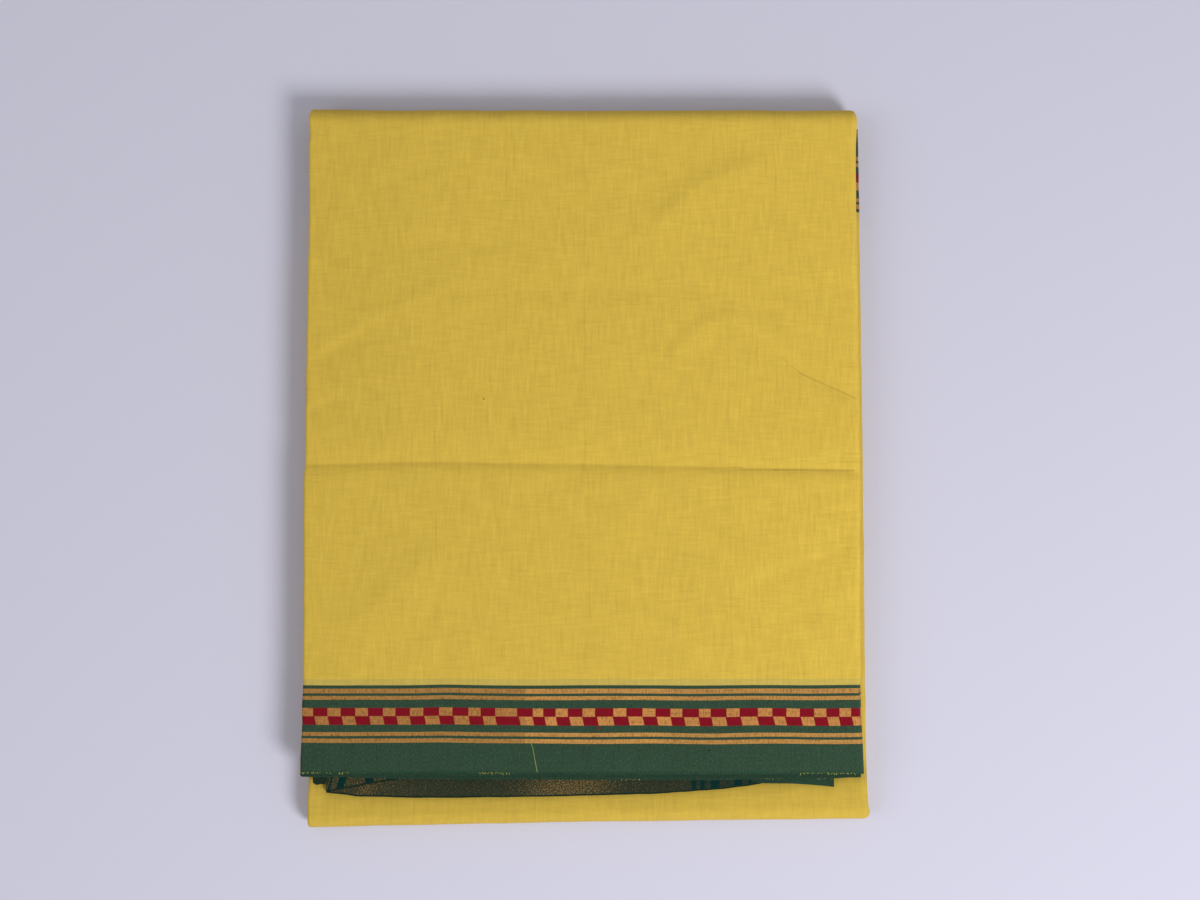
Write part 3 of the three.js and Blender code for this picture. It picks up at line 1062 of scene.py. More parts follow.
# Each crease's points from its start to its end, then its depth, its widths to
# the left and to the right of that way, how far from its ends it fades, and how
# sharp it is. The first is the storage fold across the whole flap.
TOP_CREASES = (
    Crease(
        (
            (-160, -2.7), (-134.9, -2.0), (-87.1, -1.0), (-36.4, -1.9), (-0.4, -2.4), (64.9, -3.8),
            (109.8, -5.0), (146.4, -5.8), (158.0, -8.1),
        ),
        1.3, 8.0, 3.2, 2.0, 1.3,
    ),
    Crease(
        ((25.7, 126.8), (39.9, 132), (51.4, 146.6), (65.7, 157.6), (84.6, 165.8), (111.6, 178)),
        -1.1, 6, 15, 26,
    ),
    Crease(
        ((41.4, 44.7), (51.1, 61.8), (60.2, 72.1), (69.8, 79), (81.2, 81.3), (92.5, 79.6)),
        -0.85, 5, 11, 18,
    ),
    Crease(((80.1, 87.6), (119.2, 85.3)), 0.3, 2.6, 6),
    Crease(((93.6, 72.7), (108.2, 61.2), (117.2, 51.2), (132.9, 43.8), (158, 32.7)), 0.6, 4.5, 2.8),
    Crease(((-161.1, 52.1), (-140.3, 63.2), (-123.5, 74.7), (-107.7, 83)), 0.55, 2.6, 6.5),
    Crease(((-132, 76), (-107.7, 86), (-87.9, 96.4), (-65.3, 104.4)), -0.6, 7, 14, 22),
    Crease(((-160.6, 23.6), (-145.5, 33.3), (-135.4, 36.1)), 0.45, 2.4, 4.5, 6),
    Crease(((-148, -99.2), (-130, -93.1), (-112, -79.2), (-94, -63.6), (-82, -43.5)), -1.1, 11, 20, 24),
    Crease(((122, -19.2), (157.5, -15.4)), 0.4, 2.6, 5),
    Crease(((126.4, -30.6), (157.3, -28.6)), 0.4, 3.5, 3.5),
    Crease(((134.6, -46.9), (157.2, -37.9)), 0.4, 4.5, 4),
    Crease(((89.6, -71.4), (124.4, -58.3), (140.2, -51.3), (157.6, -44.6)), 0.42, 3.4, 5),
    Crease(((104, -92), (157.6, -78)), 0.3, 4, 6),
    Crease(((-130.9, 122.8), (2.9, 123.9)), 0.4, 7, 7, 40),
    Crease(((-105, 96.8), (156.3, 96.8)), 0.4, 7, 6, 40),
)

FRONT_CREASES = (
    Crease(((-120, -192), (-60, -194), (10, -193)), 0.12, 2, 3),
    Crease(((40, -191), (90, -193), (140, -189)), 0.14, 2, 3),
)

# Where the layers that lie on the front strip end, from left to right.
LAYER_ENDS = (
    (-157.6, -175.5), (-150.8, -176.0), (-150.6, -179.2), (-143.7, -180.0), (-143.4, -184.9), (-125, -187.0),
    (-85, -187.9), (-20, -187.4), (40, -186.0), (76, -183.6), (92, -181.8), (98, -180.7), (125, -180.0),
    (138.4, -180.0), (140, -177.6), (156.4, -176.9),
)

WALL = 0.36


def rows_between(stops: Sequence[tuple[float, float]]) -> np.ndarray:
    """Rows along the strip, spaced as each stretch asks.

    Args:
        stops: Pairs of where a stretch starts and how far apart its rows are; the
            last pair's first number is where the rows end.

    Returns:
        The rows' places.
    """
    rows = []
    for (start, step), (end, _) in zip(stops, stops[1:]):
        count = max(1, round((end - start) / step))
        rows.append(np.linspace(start, end, count, endpoint=False))
    return np.concatenate([*rows, [stops[-1][0]]])


@dataclass
class OuterSheet:
    """The outermost layer, one cloth from selvedge A round both folds to B."""

    strip: Strip
    finish: ClothFinish
    top_section: Section = Section(3.4, 3.4, 10.0, 14.0, columns=158)
    plain_section: Section = Section(3.4, 3.4, 10.0, 14.0, columns=80)
    edge_ripple: Ripples = Ripples(0.12, 6, 40, seed=5)
    band_ripple: Ripples = Ripples(0.16, 40, 150, seed=11)
    first_thread: float = 1.3
    band_lean: float = 0.0041
    border_spread: float = 0.004
    border_from: float = 18.6
    border_depth: float = 31.2
    band_dip: tuple[float, float, float] = (-78.0, 14.0, 0.4)
    worn_corner: tuple[float, float, float] = (-156.4, 1.6, 1.1)
    selvedge_lean: tuple[float, float] = (0.0022, -0.28)
    pull_back: float = 0.75
    pull_front: tuple[float, float] = (0.08, 0.55)
    # Painted shade: the front strip is drawn darker as a whole; front_shadow is the darkness and reach of a
    # painted contact shadow by the layers on it.
    front_painted_shade: float = 0.875
    front_shadow: tuple[float, float] = (0.27, 4.5)

    @staticmethod
    def _held(x: np.ndarray) -> np.ndarray:
        """The places to the right, held to the strip's own width."""
        return np.clip(x, -160, 160)

    def _weave(self, along: np.ndarray, run: np.ndarray) -> np.ndarray:
        """Each point's place in the cloth, with the borders mirrored.

        Args:
            along: Lengths along the cloth.
            run: Lengths from selvedge A, one for each row.

        Returns:
            Pairs of along and across.
        """
        width = self.strip.knots[-1]
        across = np.minimum(run, width - run)[:, None] + 0 * along
        wave = self.band_ripple.at(along, across)
        x = self._held(along)
        in_border = np.clip((across - self.border_from) / self.border_depth, 0, 1.2)
        lean = self.band_lean * x - self.border_spread * (x + 150) * in_border
        middle, half, depth = self.band_dip
        lean -= depth * np.exp(-(((x - middle) / half) ** 2))
        across = across + self._trim(along, run[:, None]) + self.first_thread + lean
        return np.stack([along, across + wave * np.clip(across / 15, 0, 1)], axis=-1)

    def _trim(self, x: np.ndarray, run: np.ndarray) -> np.ndarray:
        """How far selvedge A is off its straight line, which the bands don't follow.

        Args:
            x: Places across the strip.
            run: Lengths from selvedge A.

        Returns:
            The distance to the back, fading out away from the selvedge.
        """
        start, reach, depth = self.worn_corner
        worn = depth * np.clip((start - x) / reach, 0, 1) * np.clip(1 - run / 5, 0, 1)
        slope, offset = self.selvedge_lean
        return (slope * self._held(x) + offset) * np.clip(1 - run / 25, 0, 1) + worn

    def _pull(self, x: np.ndarray, run: np.ndarray) -> np.ndarray:
        """How far the cloth is moved to the front round the two folds.

        Args:
            x: Places across the strip.
            run: Lengths from selvedge A.

        Returns:
            The distance to the front.
        """
        top, back, base, front, _ = self.strip.knots
        at_back = np.clip(1 - np.abs(run - (top + back) / 2) / 60, 0, 1)
        at_front = np.clip(1.6 - np.abs(run - (base + front) / 2) / 20, 0, 1)
        middle, ends = self.pull_front
        back_pull = self.pull_back * np.clip((x + 155) / 60, 0, 1)
        return back_pull * at_back + (middle + ends * (x / 150) ** 2) * at_front

    def _build(self, names: tuple[str, str], section: Section, run: np.ndarray,
               lift: Callable[..., np.ndarray], tone: Callable[..., np.ndarray] | float = 1.0) -> Object:
        """Makes one stretch of the sheet.

        Args:
            names: The piece's name and the solid that it stands for.
            section: Its way across.
            run: Its rows.
            lift: Gives the cloth's height over its plain form, from x and run.
            tone: Its painted light and shade, or what gives it from its points
            and their places in the cloth.

        Returns:
            The piece.
        """
        course = self.strip.at(run)
        left = course.left + self.edge_ripple.at(run, 0 * run)
        right = course.right + self.edge_ripple.at(run, 0 * run + 300)
        x, t, along = section.columns_at(left, right)
        weight = np.clip(t / self.strip.half, 0, 1) ** 2
        t = t + weight * lift(x, run[:, None] + 0 * x)
        points = self.strip.points(course, x, t)
        points[..., 1] += self._trim(x, run[:, None]) - self._pull(x, run[:, None])
        weave = self._weave(along, run)
        cloth = Cloth(names[0])
        cloth.add_shell(points, WALL, weave, tone(points, weave) if callable(tone) else tone)
        piece = cloth.finish(self.finish.material, Slot.YELLOW, names[1])
        return piece

    def build_top(self) -> Object:
        """Makes the top flap and the back fold.

        Returns:
            The piece.
        """
        top, back = self.strip.knots[:2]
        flap = [(0, 0.4), (0.8, 1.4), (50, 2.0), (160, 1.6), (166, 0.55), (176, 1.6), (185, 2.1)]
        run = rows_between([*flap, (top - 8, 1.6), (back, 0)])

        def lift(x: np.ndarray, at: np.ndarray) -> np.ndarray:
            """The top's creases, its gentle unevenness and the droop of its selvedge.

            Args:
                x: Places to the right.
                at: Lengths from selvedge A.

            Returns:
                Heights over the plain form.
            """
            y = np.minimum(at, top + 10) + self.strip.selvedge_a_y
            height = Ripples(0.16, 28, 110, seed=2).at(x, y) + Ripples(0.03, 7, 22, seed=8, waves=24).at(x, y)
            for crease in TOP_CREASES:
                height = height + crease.height(x, y)
            droop = 0.45 * np.exp(-np.clip(at, 0, None) / 5)
            return height * np.clip((back - at) / 12, 0, 1) - droop

        return self._build(("top_cloth", "top_panel"), self.top_section, run, lift, self._top_painted_shading)

    def _top_painted_shading(self, _: np.ndarray, weave: np.ndarray) -> np.ndarray:
        """The painted light and shade on the top flap, with soft steps where layers end underneath.

        Args:
            _: The sheet's points, which it doesn't need.
            weave: Each point's place in the cloth.

        Returns:
            The brightness of each point, about 1.
        """
        x, across = weave[..., 0], weave[..., 1]
        y = across + self.strip.selvedge_a_y

        def soft(value: np.ndarray, width: float) -> np.ndarray:
            """A soft step from 0 to 1."""
            return 0.5 + 0.5 * np.tanh(value / width)

        # Painted shade behind the storage fold on the left, and painted light in front of
        # the fold on the right. A painted highlight on the left roll towards the back, and a
        # painted shadow along the first threads of the selvedge. The last line makes the
        # whole flap a little darker to the left and to the front.
        tone = 1.0 - 0.018 * soft(-101 - x, 3) * soft(y + 3, 6)
        tone += 0.018 * soft(x - 82, 3) * soft(-3 - y, 6)
        tone += 0.05 * np.exp(-np.clip(x + 158, 0, None) / 2.6) * soft(y - 60, 20)
        tone -= 0.3 * np.clip(1 - (across - self.first_thread) / 1.2, 0, 1)
        return tone - 0.02 + 0.00025 * self._held(x) + 0.00016 * np.clip(y, -170, 190)

    def build_underside(self) -> Object:
        """Makes the stretch that lies on the surface.

        Returns:
            The piece.
        """
        _, back, base = self.strip.knots[:3]
        run = rows_between([(back + 0.02, 3.5), (base - 0.02, 0)])

        def lift(x: np.ndarray, at: np.ndarray) -> np.ndarray:
            """Small hollows, never below the surface that it lies on."""
            return -np.abs(Ripples(0.1, 20, 90, seed=21).at(x, at))

        names = ("underside_cloth", "underside_panel")
        return self._build(names, self.plain_section, run, lift)

    def build_front(self) -> Object:
        """Makes the front fold and the inner flap's upper side.

        Returns:
            The piece.
        """
        base, front, end = self.strip.knots[2:]
        run = rows_between([(base, 1.0), (front, 1.2), (front + 20, 4.0), (end - 60, 3.0), (end, 0)])

        def lift(x: np.ndarray, at: np.ndarray) -> np.ndarray:
            """The front strip's small wrinkles.

            Args:
                x: Places to the right.
                at: Lengths from selvedge A.

            Returns:
                Heights over the plain form.
            """
            y = at - front + self.strip.front_y
            height = Ripples(0.1, 16, 70, seed=31).at(x, at)
            for crease in FRONT_CREASES:
                height = height + crease.height(x, y)
            return np.minimum(height, 0.1) * np.clip((at - base) / 6, 0, 1)

        def tone(points: np.ndarray, _: np.ndarray) -> np.ndarray:
            """Painted shade: a contact shadow by the layers that lie on the strip, and shade where it turns
            down.

            Args:
                points: The sheet's points.
                _: Their places in the cloth, which it doesn't need.

            Returns:
                The brightness of each.
            """
            x, y = points[..., 0], points[..., 1]
            ends = np.array(LAYER_ENDS, float)
            ahead = np.clip(np.interp(x, ends[:, 0], ends[:, 1]) - y, 0, None)
            turned = np.clip((front - run) / 4, 0, 1)
            dark, reach = self.front_shadow
            # Painted shade: a contact shadow fading ahead of the layers on the strip, and shade over the
            # fold's turn; a little lighter to the right, all under the strip's painted shade as a whole.
            shade = 0.0002 * self._held(x) - dark * np.exp(-ahead / reach)
            return self.front_painted_shade * (1 + shade * np.clip((-165 - y) / 8, 0, 1) - 0.055 * turned[:, None])

        return self._build(("front_cloth", "front_panel"), self.plain_section, run, lift, tone)


@dataclass
class InnerFolds:
    """The layers inside: a core, and at its left the rolls that its folds make.

    Each of the ends has its level, how far in from the left edge it starts and its
    seed. Each nested layer has its level and the row that it starts at.
    """

    strip: Strip
    finish: ClothFinish
    front_run: float = 0.9
    core_front: float = 12.1
    core_full: float = 42.5
    core_levels: tuple[float, float, float] = (-3.0, -0.8, 1.9)
    core_insets: tuple[float, float] = (3.0, 1.2)
    shoulder: float = 0.012
    wall: float = 0.3
    rolls: tuple[Section, ...] = (
        Section(-0.1, 1.6, 9.0, None, reach=10, columns=4, inset=0.5, turn_steps=8),
        Section(-1.8, 0.75, 9.0, None, reach=10, columns=4, inset=1.0, turn_steps=6),
    )
    ends: tuple[tuple[float, float, int], ...] = ((-2.75, 1.6, 41), (-3.1, 0.9, 42))
    nested: tuple[tuple[float, float], ...] = ((2.65, 1.9), (1.3, 1.1))

    def _rows(self, start: float, stop: float, plain: float, flaps: float) -> np.ndarray:
        """Rows along the whole strip, close together round the two folds."""
        return rows_between([(start, plain), (366, 2.4), (404, flaps), (788, 2.0), (815, flaps), (stop, 0)])

    def build(self) -> Object:
        """Makes them all as one piece.

        Returns:
            The piece.
        """
        cloth = Cloth("inner_folds")
        end = self.strip.knots[-1]
        run = self._rows(self.front_run, end - 1.5, 3.0, 4.0)
        course = self.strip.at(run)
        for order, section in enumerate(self.rolls):
            wobble = Ripples(0.35, 10, 80, seed=50 + order).at(run, 0 * run)
            x, t, along = section.columns_at(course.left + wobble, course.right)
            self._add(cloth, run, x, t, along + 40.0 * order)
        for level, inset, seed in self.ends:
            ragged = Ripples(0.5, 6, 60, seed=seed).at(run, 0 * run)
            x = (course.left + inset + ragged)[:, None] + np.linspace(0, 1, 4) * 10
            t = level + 0.12 * Ripples(1, 12, 50, seed=seed + 9).at(x, run[:, None] + 0 * x)
            self._add(cloth, run, x, np.clip(t, -3.38, None), x + 90.0)
        self._add_nested(cloth)
        self._add_core(cloth)
        area = self._area(cloth)
        piece = cloth.finish(self.finish.material, Slot.YELLOW, "hidden_layers")
        return piece

    def _add(self, cloth: Cloth, run: np.ndarray, x: np.ndarray, t: np.ndarray, along: np.ndarray,
             under: np.ndarray | None = None, tone: float = 0.97) -> None:
        """Adds one sheet, or one block, along the strip.

        Args:
            cloth: The piece it is part of.
            run: The rows.
            x: Places across.
            t: The outer side's levels.
            along: Lengths along the cloth.
            under: The inner side's levels, for a block.
            tone: Its brightness, by default a little painted shade inside the stack.
        """
        width = self.strip.knots[-1]
        course = self.strip.at(run)
        across = np.minimum(run, width - run)[:, None] + 0 * x
        wall = self.wall if under is None else self.strip.points(course, x, under)
        cloth.add_shell(self.strip.points(course, x, t), wall, np.stack([along, across], axis=-1), tone)

    def _add_nested(self, cloth: Cloth) -> None:
        """Adds the layers that lie inside the top sheet's fold at the front.

        Args:
            cloth: The piece they are part of.
        """
        for level, start in self.nested:
            run = rows_between([(start, 1.5), (self.core_full + 4, 0)])
            course = self.strip.at(run)
            drop = 2 * (level - 1.7) if level > 1.7 else 0.0
            section = Section(level, drop, 8.0, 12.0, columns=40, inset=0.7 if drop else 2.2, turn_steps=7)
            x, t, along = section.columns_at(course.left, course.right)
            self._add(cloth, run, x, t, along + 20.0 * level)

    def _add_core(self, cloth: Cloth) -> None:
        """Adds the rounded mass of layers whose edges don't show, lower at its front.

        Args:
            cloth: The piece it is part of.
        """
        end = self.strip.knots[-1]
        front = rows_between([(self.core_front, 4.0), (self.core_full, 0)])
        rest = self._rows(self.core_full, end - 3, 6.0, 8.0)
        share = np.concatenate([[0, 0.004, 0.012], np.linspace(0.03, 0.97, 10), [0.988, 0.996, 1]])
        from_side = np.minimum(share, 1 - share)
        round_off = np.sqrt(np.clip(1 - (1 - from_side / self.shoulder) ** 2, 0, 1))
        thick = 0.25 + 0.75 * np.where(from_side > self.shoulder, 1.0, round_off)
        bottom, front_top, rest_top = self.core_levels
        for run, top in ((front, front_top), (rest, rest_top)):
            course = self.strip.at(run)
            left = (course.left + self.core_insets[0])[:, None]
            right = (course.right - self.core_insets[1])[:, None]
            x = left + share * (right - left)
            tall = top - bottom
            t = (top + bottom) / 2 + tall * 0.5 * thick + 0 * x
            # The core is painted darker: painted shade inside the stack.
            self._add(cloth, run, x, t, x + 60, t - tall * thick, 0.8)

    @staticmethod
    def _area(cloth: Cloth) -> float:
        """Half the surface of all the shells so far, in square metres.

        Args:
            cloth: The piece.

        Returns:
            The area of the sheets, one side of each.
        """
        points, faces = np.concatenate(cloth.points), np.concatenate(cloth.faces)
        a, b, c, d = (points[faces[:, k]] for k in range(4))
        doubled = np.linalg.norm(np.cross(c - a, d - b), axis=1).sum() / 2
        return float(doubled) / 2 * MM * MM


@dataclass
class ShortLayer:
    """A layer whose front edge shows under the ones above it."""

    strip: Strip
    name: str
    node: str
    level: float
    back_y: float
    edge: tuple[tuple[float, float], ...]
    slot: Slot
    droop: float = 0.0
    droop_from: float = -176.0
    shift: float = 130.0
    turns_from: float | None = None
    ripple: Ripples = Ripples(0.1, 8, 40, seed=61)
    edge_wave: Ripples = Ripples(0.12, 5, 30, seed=71)
    # Painted shade under the layers above: the layer's brightness.
    shade: float = 1.0
    # Painted light added to that: each a middle, a half width and a gain; on the end piece, painted
    # highlights on its gold.
    painted_light: tuple[tuple[float, float, float], ...] = ()
    wall: float = 0.34
    column_gap: float = 1.3
    end_gap: float = 0.4
    turn_width: float = 1.0

    def build(self, finish: ClothFinish) -> Object:
        """Makes the layer.

        Args:
            finish: Its finish.

        Returns:
            The piece.
        """
        table = np.array(self.edge, float)
        left, right = table[0, 0], table[-1, 0]
        inside = np.arange(left + self.end_gap, right - self.end_gap, self.column_gap)
        columns = np.concatenate([[left], inside, [right - self.end_gap, right]])
        edge = np.interp(columns, table[:, 0], table[:, 1]) + self.edge_wave.at(columns, 0 * columns)
        share = np.array([0, 0.008, 0.03, 0.06, 0.1, 0.15, 0.2, 0.26, 0.33, 0.42, 0.55, 0.75, 1.0])[:, None]
        y = edge + share * (self.back_y - edge)
        x = columns + 0 * y
        level = self.strip.top_level + self.level + self.ripple.at(x, y)
        level = level - self.droop * np.clip((self.droop_from - y) / 8.0, 0, 1) ** 1.2
        x, level = self._turn(x, level)
        points = np.stack([x, self.strip.slanted(x, y, self.strip.slant_a), level], axis=-1)
        weave = np.stack([columns + self.shift + 0 * y, y - edge], axis=-1)
        # The layer's painted shade and painted light.
        tone = np.full(y.shape, self.shade)
        for middle, half, gain in self.painted_light:
            wander = middle + 0.4 * (y + 184)
            tone += gain * np.exp(-np.abs((columns - wander) / half) ** 3)
        cloth = Cloth(self.name)
        cloth.add_shell(points, self.wall, weave, tone)
        piece = cloth.finish(finish.material, self.slot, self.node)
        return piece

    def _turn(self, x: np.ndarray, level: np.ndarray) -> tuple[np.ndarray, np.ndarray]:
        """Turns the right end down, inside the top sheet's fold.

        Args:
            x: Places to the right.
            level: Heights.

        Returns:
            The two, turned.
        """
        if self.turns_from is None:
            return x, level
        past = np.clip(x - self.turns_from, 0, None)
        angle = np.clip(past / self.level, 0, 0.92 * math.pi)
        turned = self.turns_from + self.level * np.sin(angle) - (past - angle * self.level)
        drop = self.level * (1 - np.cos(angle))
        return np.where(past > 0, turned, x), level - drop


@dataclass(frozen=True)
class ThreadEnds:
    """Loose ends of weft thread along a selvedge, made with geometry nodes.

    The jitter is the least and then the greatest shift, and most_turn the greatest
    turn about each axis, in radians.
    """

    name: str
    stretches: tuple[tuple[float, float], ...]
    y: float
    slope: float
    z: float
    gap: float
    length: float
    radius: float
    seed: int
    jitter: tuple[float, ...] = (-0.6, -0.1, -0.08, 0.6, 0.2, 0.08)
    most_turn: tuple[float, float, float] = (0.35, 0.5, 1.1)
    least_size: float = 0.25

    def build(self, material: bpy.types.Material) -> Object:
        """Makes them as one mesh.

        Args:
            material: Their finish.

        Returns:
            The piece.
        """
        group = self._group()
        line = bpy.data.meshes.new(self.name + "_line")
        places = [(x, self.y + self.slope * x, self.z) for stretch in self.stretches for x in stretch]
        corners = [tuple(value * MM for value in place) for place in places]
        line.from_pydata(corners, [(k, k + 1) for k in range(0, len(corners), 2)], [])
        holder = bpy.data.objects.new(self.name + "_line", line)
        bpy.context.scene.collection.objects.link(holder)
        modifier = holder.modifiers.new("threads", "NODES")
        modifier.node_group = group
        sizes = {"Gap": self.gap, "Length": self.length, "Radius": self.radius}
        inputs = {name: size * MM for name, size in sizes.items()} | {"Seed": self.seed, "Material": material}
        for item in group.interface.items_tree:
            if item.in_out == "INPUT" and item.name in inputs:
                modifier[item.identifier] = inputs[item.name]
        graph = bpy.context.evaluated_depsgraph_get()
        mesh = bpy.data.meshes.new_from_object(holder.evaluated_get(graph))
        bpy.data.objects.remove(holder)
        mesh.name = self.name
        return put(self.name, mesh, Slot.YELLOW)

    def _group(self) -> bpy.types.NodeTree:
        """The node group that sets thread ends along a line.

        Returns:
            The group, with its sizes as named inputs.
        """
        group = bpy.data.node_groups.new(self.name + "_threads", "GeometryNodeTree")
        face = group.interface
        kinds = {"Geometry": "Geometry", "Gap": "Float", "Length": "Float", "Radius": "Float", "Seed": "Int"}
        for name, kind in {**kinds, "Material": "Material"}.items():
            face.new_socket(name, in_out="INPUT", socket_type="NodeSocket" + kind)
        face.new_socket("Geometry", in_out="OUTPUT", socket_type="NodeSocketGeometry")
        nodes = Nodes(group)
        given = nodes.make("NodeGroupInput", {}, {})
        line, gap, length, radius, seed, material = (Wire(nodes, given.outputs[k]) for k in range(6))

        def random(start: Any, end: Any, offset: int, kind: str = "FLOAT") -> Wire:
            """A random value for each thread.

            Args:
                start: The least value.
                end: The greatest.
                offset: What is added to the seed.
                kind: The value's type.

            Returns:
                The value.
            """
            low, high, out = {"FLOAT": (2, 3, 1), "FLOAT_VECTOR": (0, 1, 0)}[kind]
            values = {low: start, high: end, "Seed": seed + float(offset)}
            return nodes.add("FunctionNodeRandomValue", {"data_type": kind}, values, out)

        curve = nodes.add("GeometryNodeMeshToCurve", {}, {0: line})
        curve = nodes.add("GeometryNodeResampleCurve", {"mode": "LENGTH"}, {"Curve": curve, "Length": gap})
        least, most = (tuple(value * MM for value in self.jitter[k:k + 3]) for k in (0, 3))
        jitter = random(least, most, 1, "FLOAT_VECTOR")
        curve = nodes.add("GeometryNodeSetPosition", {}, {"Geometry": curve, "Offset": jitter})
        far = nodes.add("ShaderNodeCombineXYZ", {}, {0: 0.0, 1: length * -1.0, 2: length * -0.25})
        bend = nodes.add("ShaderNodeCombineXYZ", {}, {0: length * 0.15, 1: length * -0.6, 2: length * 0.12})
        values = {"Resolution": 4, "Start": (0.0, 0.0, 0.0), "Middle": bend, "End": far}
        thread = nodes.add("GeometryNodeCurveQuadraticBezier", {}, values)
        values = {"Resolution": 5, "Radius": radius}
        ring = nodes.add("GeometryNodeCurvePrimitiveCircle", {"mode": "RADIUS"}, values)
        values = {"Curve": thread, "Profile Curve": ring, "Fill Caps": True}
        tube = nodes.add("GeometryNodeCurveToMesh", {}, values)
        turn = random(tuple(-value for value in self.most_turn), self.most_turn, 2, "FLOAT_VECTOR")
        size = random(self.least_size, 1.0, 3)
        values = {"Points": curve, "Instance": tube, "Rotation": turn, "Scale": size}
        many = nodes.add("GeometryNodeInstanceOnPoints", {}, values)
        real = nodes.add("GeometryNodeRealizeInstances", {}, {0: many})
        real = nodes.add("GeometryNodeSetMaterial", {}, {"Geometry": real, "Material": material})
        nodes.make("NodeGroupOutput", {}, {0: real})
        return group


@dataclass(frozen=True)
class LooseThread:
    """A single loose thread that lies on the cloth, a thin closed tube."""

    name: str
    points: tuple[tuple[float, float, float], ...]
    radius: float
    sides: int = 6
    steps: int = 24

    def build(self, material: bpy.types.Material) -> Object:
        """Makes the thread.

        Args:
            material: Its finish.

        Returns:
            The piece.
        """
        given = np.array(self.points, float)
        marks = np.linspace(0, len(given) - 1, self.steps)
        middle = np.stack([np.interp(marks, np.arange(len(given)), given[:, k]) for k in range(3)], axis=1)
        turn = np.linspace(0, 2 * math.pi, self.sides, endpoint=False)
        ring = np.stack([np.cos(turn), 0 * turn, np.sin(turn)], axis=1) * self.radius
        points = (middle[:, None, :] + ring[None, :, :]).reshape(-1, 3) * MM
        index = np.arange(self.steps * self.sides).reshape(self.steps, self.sides)
        after = np.roll(index, -1, axis=1)
        faces = np.stack([index[:-1], index[1:], after[1:], after[:-1]], axis=-1).reshape(-1, 4).tolist()
        faces += [index[0].tolist(), index[-1, ::-1].tolist()]
        mesh = bpy.data.meshes.new(self.name)
        mesh.from_pydata(points.tolist(), [], faces)
        mesh.polygons.foreach_set("use_smooth", [True] * len(mesh.polygons))
        mesh.materials.append(material)
        return put(self.name, mesh, Slot.YELLOW)


# ----------------------------------------------------------------- the scene


@dataclass(frozen=True)
class Lamp:
    """A round soft light, by its direction from the pack and its share of the light."""

    name: str
    zenith: float
    turn: float
    distance: float
    size: float
    share: float

    def build(self) -> None:
        """Makes the light, turned to the pack."""
        zenith, turn = math.radians(self.zenith), math.radians(self.turn)
        away = self.distance * MM
        data = bpy.data.lights.new(self.name, "AREA")
        data.shape = "DISK"
        data.size = self.size * MM
        data.energy = self.share * (math.pi * away) ** 2 / math.cos(zenith)
        light = bpy.data.objects.new(self.name, data)
        flat = math.sin(zenith) * away
        light.location = (flat * math.cos(turn), flat * math.sin(turn), math.cos(zenith) * away)
        light.rotation_euler = (0, zenith, turn)
        bpy.context.scene.collection.objects.link(light)


@dataclass(frozen=True)
class Studio:
    """A pale floor, a soft light from the lower right, a weak one and the camera."""

    camera_at: tuple[float, float, float] = (8.6, -93.4, 1029.6)
    tilt: float = 5.6
    lens: float = 54.0
    film: float = 36.0
    nearest: float = 10.0
    floor_half: float = 1500.0
    sky: float = 0.4
    lamps: tuple[Lamp, ...] = (
        Lamp("soft_light", zenith=50.5, turn=-48.5, distance=2300.0, size=920.0, share=0.48),
        Lamp("fill_light", zenith=48.0, turn=192.0, distance=5000.0, size=3700.0, share=0.12),
    )

    def build(self) -> None:
        """Makes the floor, the lights and the camera."""
        scene = bpy.context.scene
        scene.view_settings.view_transform = "Standard"
        half = self.floor_half * MM
        mesh = bpy.data.meshes.new("floor")
        corners = [(-half, -half, 0), (half, -half, 0), (half, half, 0), (-half, half, 0)]
        mesh.from_pydata(corners, [], [(0, 1, 2, 3)])
        floor = bpy.data.objects.new("floor", mesh)
        scene.collection.objects.link(floor)
        finish = PlainFinish("pale_paper", srgb(208, 207, 224), srgb(204, 203, 220), 1.2, 0.9)
        mesh.materials.append(finish.material)
        for lamp in self.lamps:
            lamp.build()
        world = bpy.data.worlds.new("sky")
        scene.world = world
        world.use_nodes = True
        shade = world.node_tree.nodes["Background"]
        shade.inputs["Color"].default_value = (1.0, 1.0, 1.0, 1.0)
        shade.inputs["Strength"].default_value = self.sky
        camera = bpy.data.cameras.new("camera")
        camera.lens = self.lens
        camera.sensor_width = self.film
        camera.clip_start = self.nearest * MM
        eye = bpy.data.objects.new("camera", camera)
        eye.location = tuple(v * MM for v in self.camera_at)
        eye.rotation_euler = (math.radians(self.tilt), 0, 0)
        scene.collection.objects.link(eye)
        scene.camera = eye


LEFT_BANDS = WeftBands(
    gold=(
        (-146, -142.35), (-140.85, -138.1), (-133.3, -122.7), (-118, -114.8), (-113.7, -110.4), (-104.8, -60),
    ),
    plain_from=-101.0,
    plain_to=200.0,
)

RIGHT_BANDS = WeftBands(
    gold=((61.5, 63.9), (66.4, 69.2), (74.2, 83.0), (87.5, 90.7), (92.1, 94.9)),
    plain_from=-200.0,
    plain_to=59.6,
    strength=0.35,
)


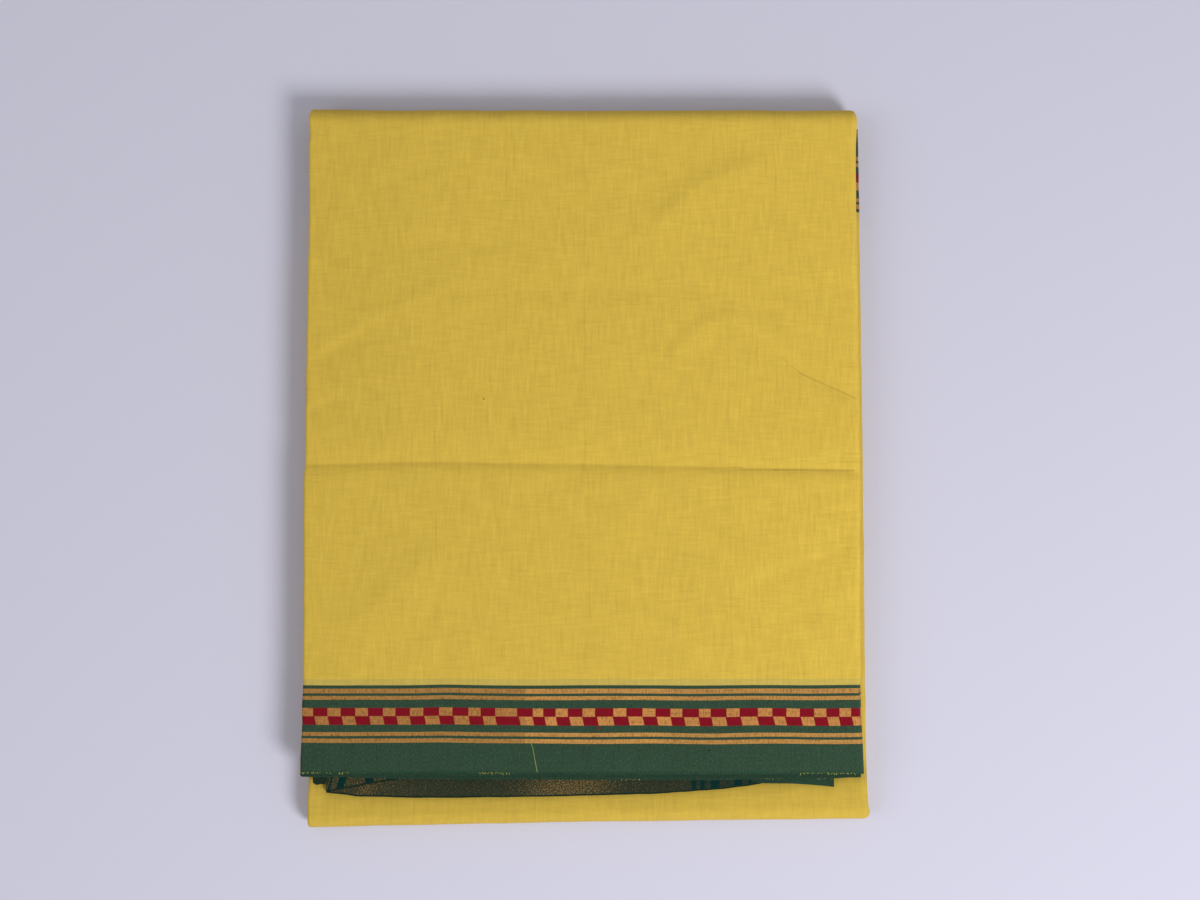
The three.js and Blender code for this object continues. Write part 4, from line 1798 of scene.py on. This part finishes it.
def short_layers(strip: Strip) -> list[ShortLayer]:
    """The four layers that end under the top flap, from the top down.

    Args:
        strip: The strip that they are part of.

    Returns:
        The layers, the last two in the end piece's cloth.
    """
    # Each shade is painted shade under the layers above; the painted light lifts the inner border layer's
    # right end and paints highlights on the end piece's gold.
    return [
        ShortLayer(
            strip, "second_cloth", "second_layer", 1.95, -133.2,
            (
                (-156.1, -175.9), (-135, -176.2), (-110, -176.9), (-80, -177.4), (0, -177.9), (70, -178.4),
                (140, -177.4), (156.4, -176.9),
            ),
            Slot.GREEN, turns_from=151.6, shade=0.74,
        ),
        ShortLayer(
            strip, "inner_border_cloth", "inner_border_layer", 0.55, -133.2,
            (
                (-150.7, -179.2), (-148.4, -180.7), (-147, -179.8), (-143.6, -180.3), (-142.6, -176.0),
                (20, -176.0), (91, -176.4), (95.5, -180.2), (110, -180.4), (125, -180.9), (132, -181.6),
                (138.4, -182.4),
            ),
            Slot.GREEN, droop=0.3, shift=210, shade=0.35, ripple=Ripples(0.14, 6, 30, seed=62),
            painted_light=((122, 32, 0.5),),
        ),
        ShortLayer(
            strip, "pallu_fold", "pallu_upper", -0.75, -163.3,
            ((-143.5, -184.6), (-137, -183.2), (-124, -180.8), (-100, -177.0), (0, -176.4), (96, -177.0)),
            Slot.PALLU, droop=0.2, shift=0,
        ),
        ShortLayer(
            strip, "pallu_end", "pallu_lower", -2.1, -163.3,
            (
                (-143.5, -184.9), (-125, -187.0), (-85, -187.9), (-20, -187.4), (40, -186.0), (76, -183.6),
                (92, -181.8), (98.1, -180.7),
            ),
            Slot.PALLU, droop=-0.1, shift=0, painted_light=((-130, 34, 0.25), (-121.5, 4.5, 0.2), (-10, 27, 0.55)),
        ),
    ]


THREAD_ENDS = (
    ThreadEnds(
        "thread_ends", ((-157.5, -146), (-143, -141), (-136, -131), (-58, -42), (118, 127), (129, 149)),
        y=-173.8, slope=-0.0012, z=21.02, gap=0.75, length=1.5, radius=0.15, seed=7,
    ),
    ThreadEnds(
        "second_thread_ends", ((21, 31), (101, 108), (127.5, 133)),
        y=-177.5, slope=0.003, z=19.85, gap=0.9, length=1.0, radius=0.11, seed=9,
    ),
)

LOOSE_THREAD = LooseThread(
    "loose_thread",
    ((-30.0, -156.9, 21.1), (-28.6, -160.5, 21.15), (-27.6, -166.0, 21.1), (-26.2, -173.6, 20.75)),
    radius=0.15,
)


def main() -> None:
    """Builds the whole scene in order."""
    logging.basicConfig(level=logging.INFO, format="%(message)s")
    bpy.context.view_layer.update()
    strip = Strip()
    saree = SareeFinish(BorderDraft())
    left_end = PalluFinish("pallu_left", LEFT_BANDS)
    right_end = PalluFinish("pallu_right", RIGHT_BANDS)
    thread = PlainFinish("weft_thread", srgb(196, 192, 100), srgb(96, 122, 66), 0.8, 0.85)
    pale = PlainFinish("pale_thread", srgb(176, 182, 112), srgb(140, 152, 86), 0.6, 0.85)
    Studio().build()
    outer = OuterSheet(strip, saree)
    outer.build_top()
    outer.build_underside()
    outer.build_front()
    InnerFolds(strip, saree).build()
    for layer, finish in zip(short_layers(strip), (saree, saree, left_end, right_end)):
        layer.build(finish)
    for ends in THREAD_ENDS:
        ends.build(thread.material)
    LOOSE_THREAD.build(pale.material)


if __name__ == "__main__":
    main()
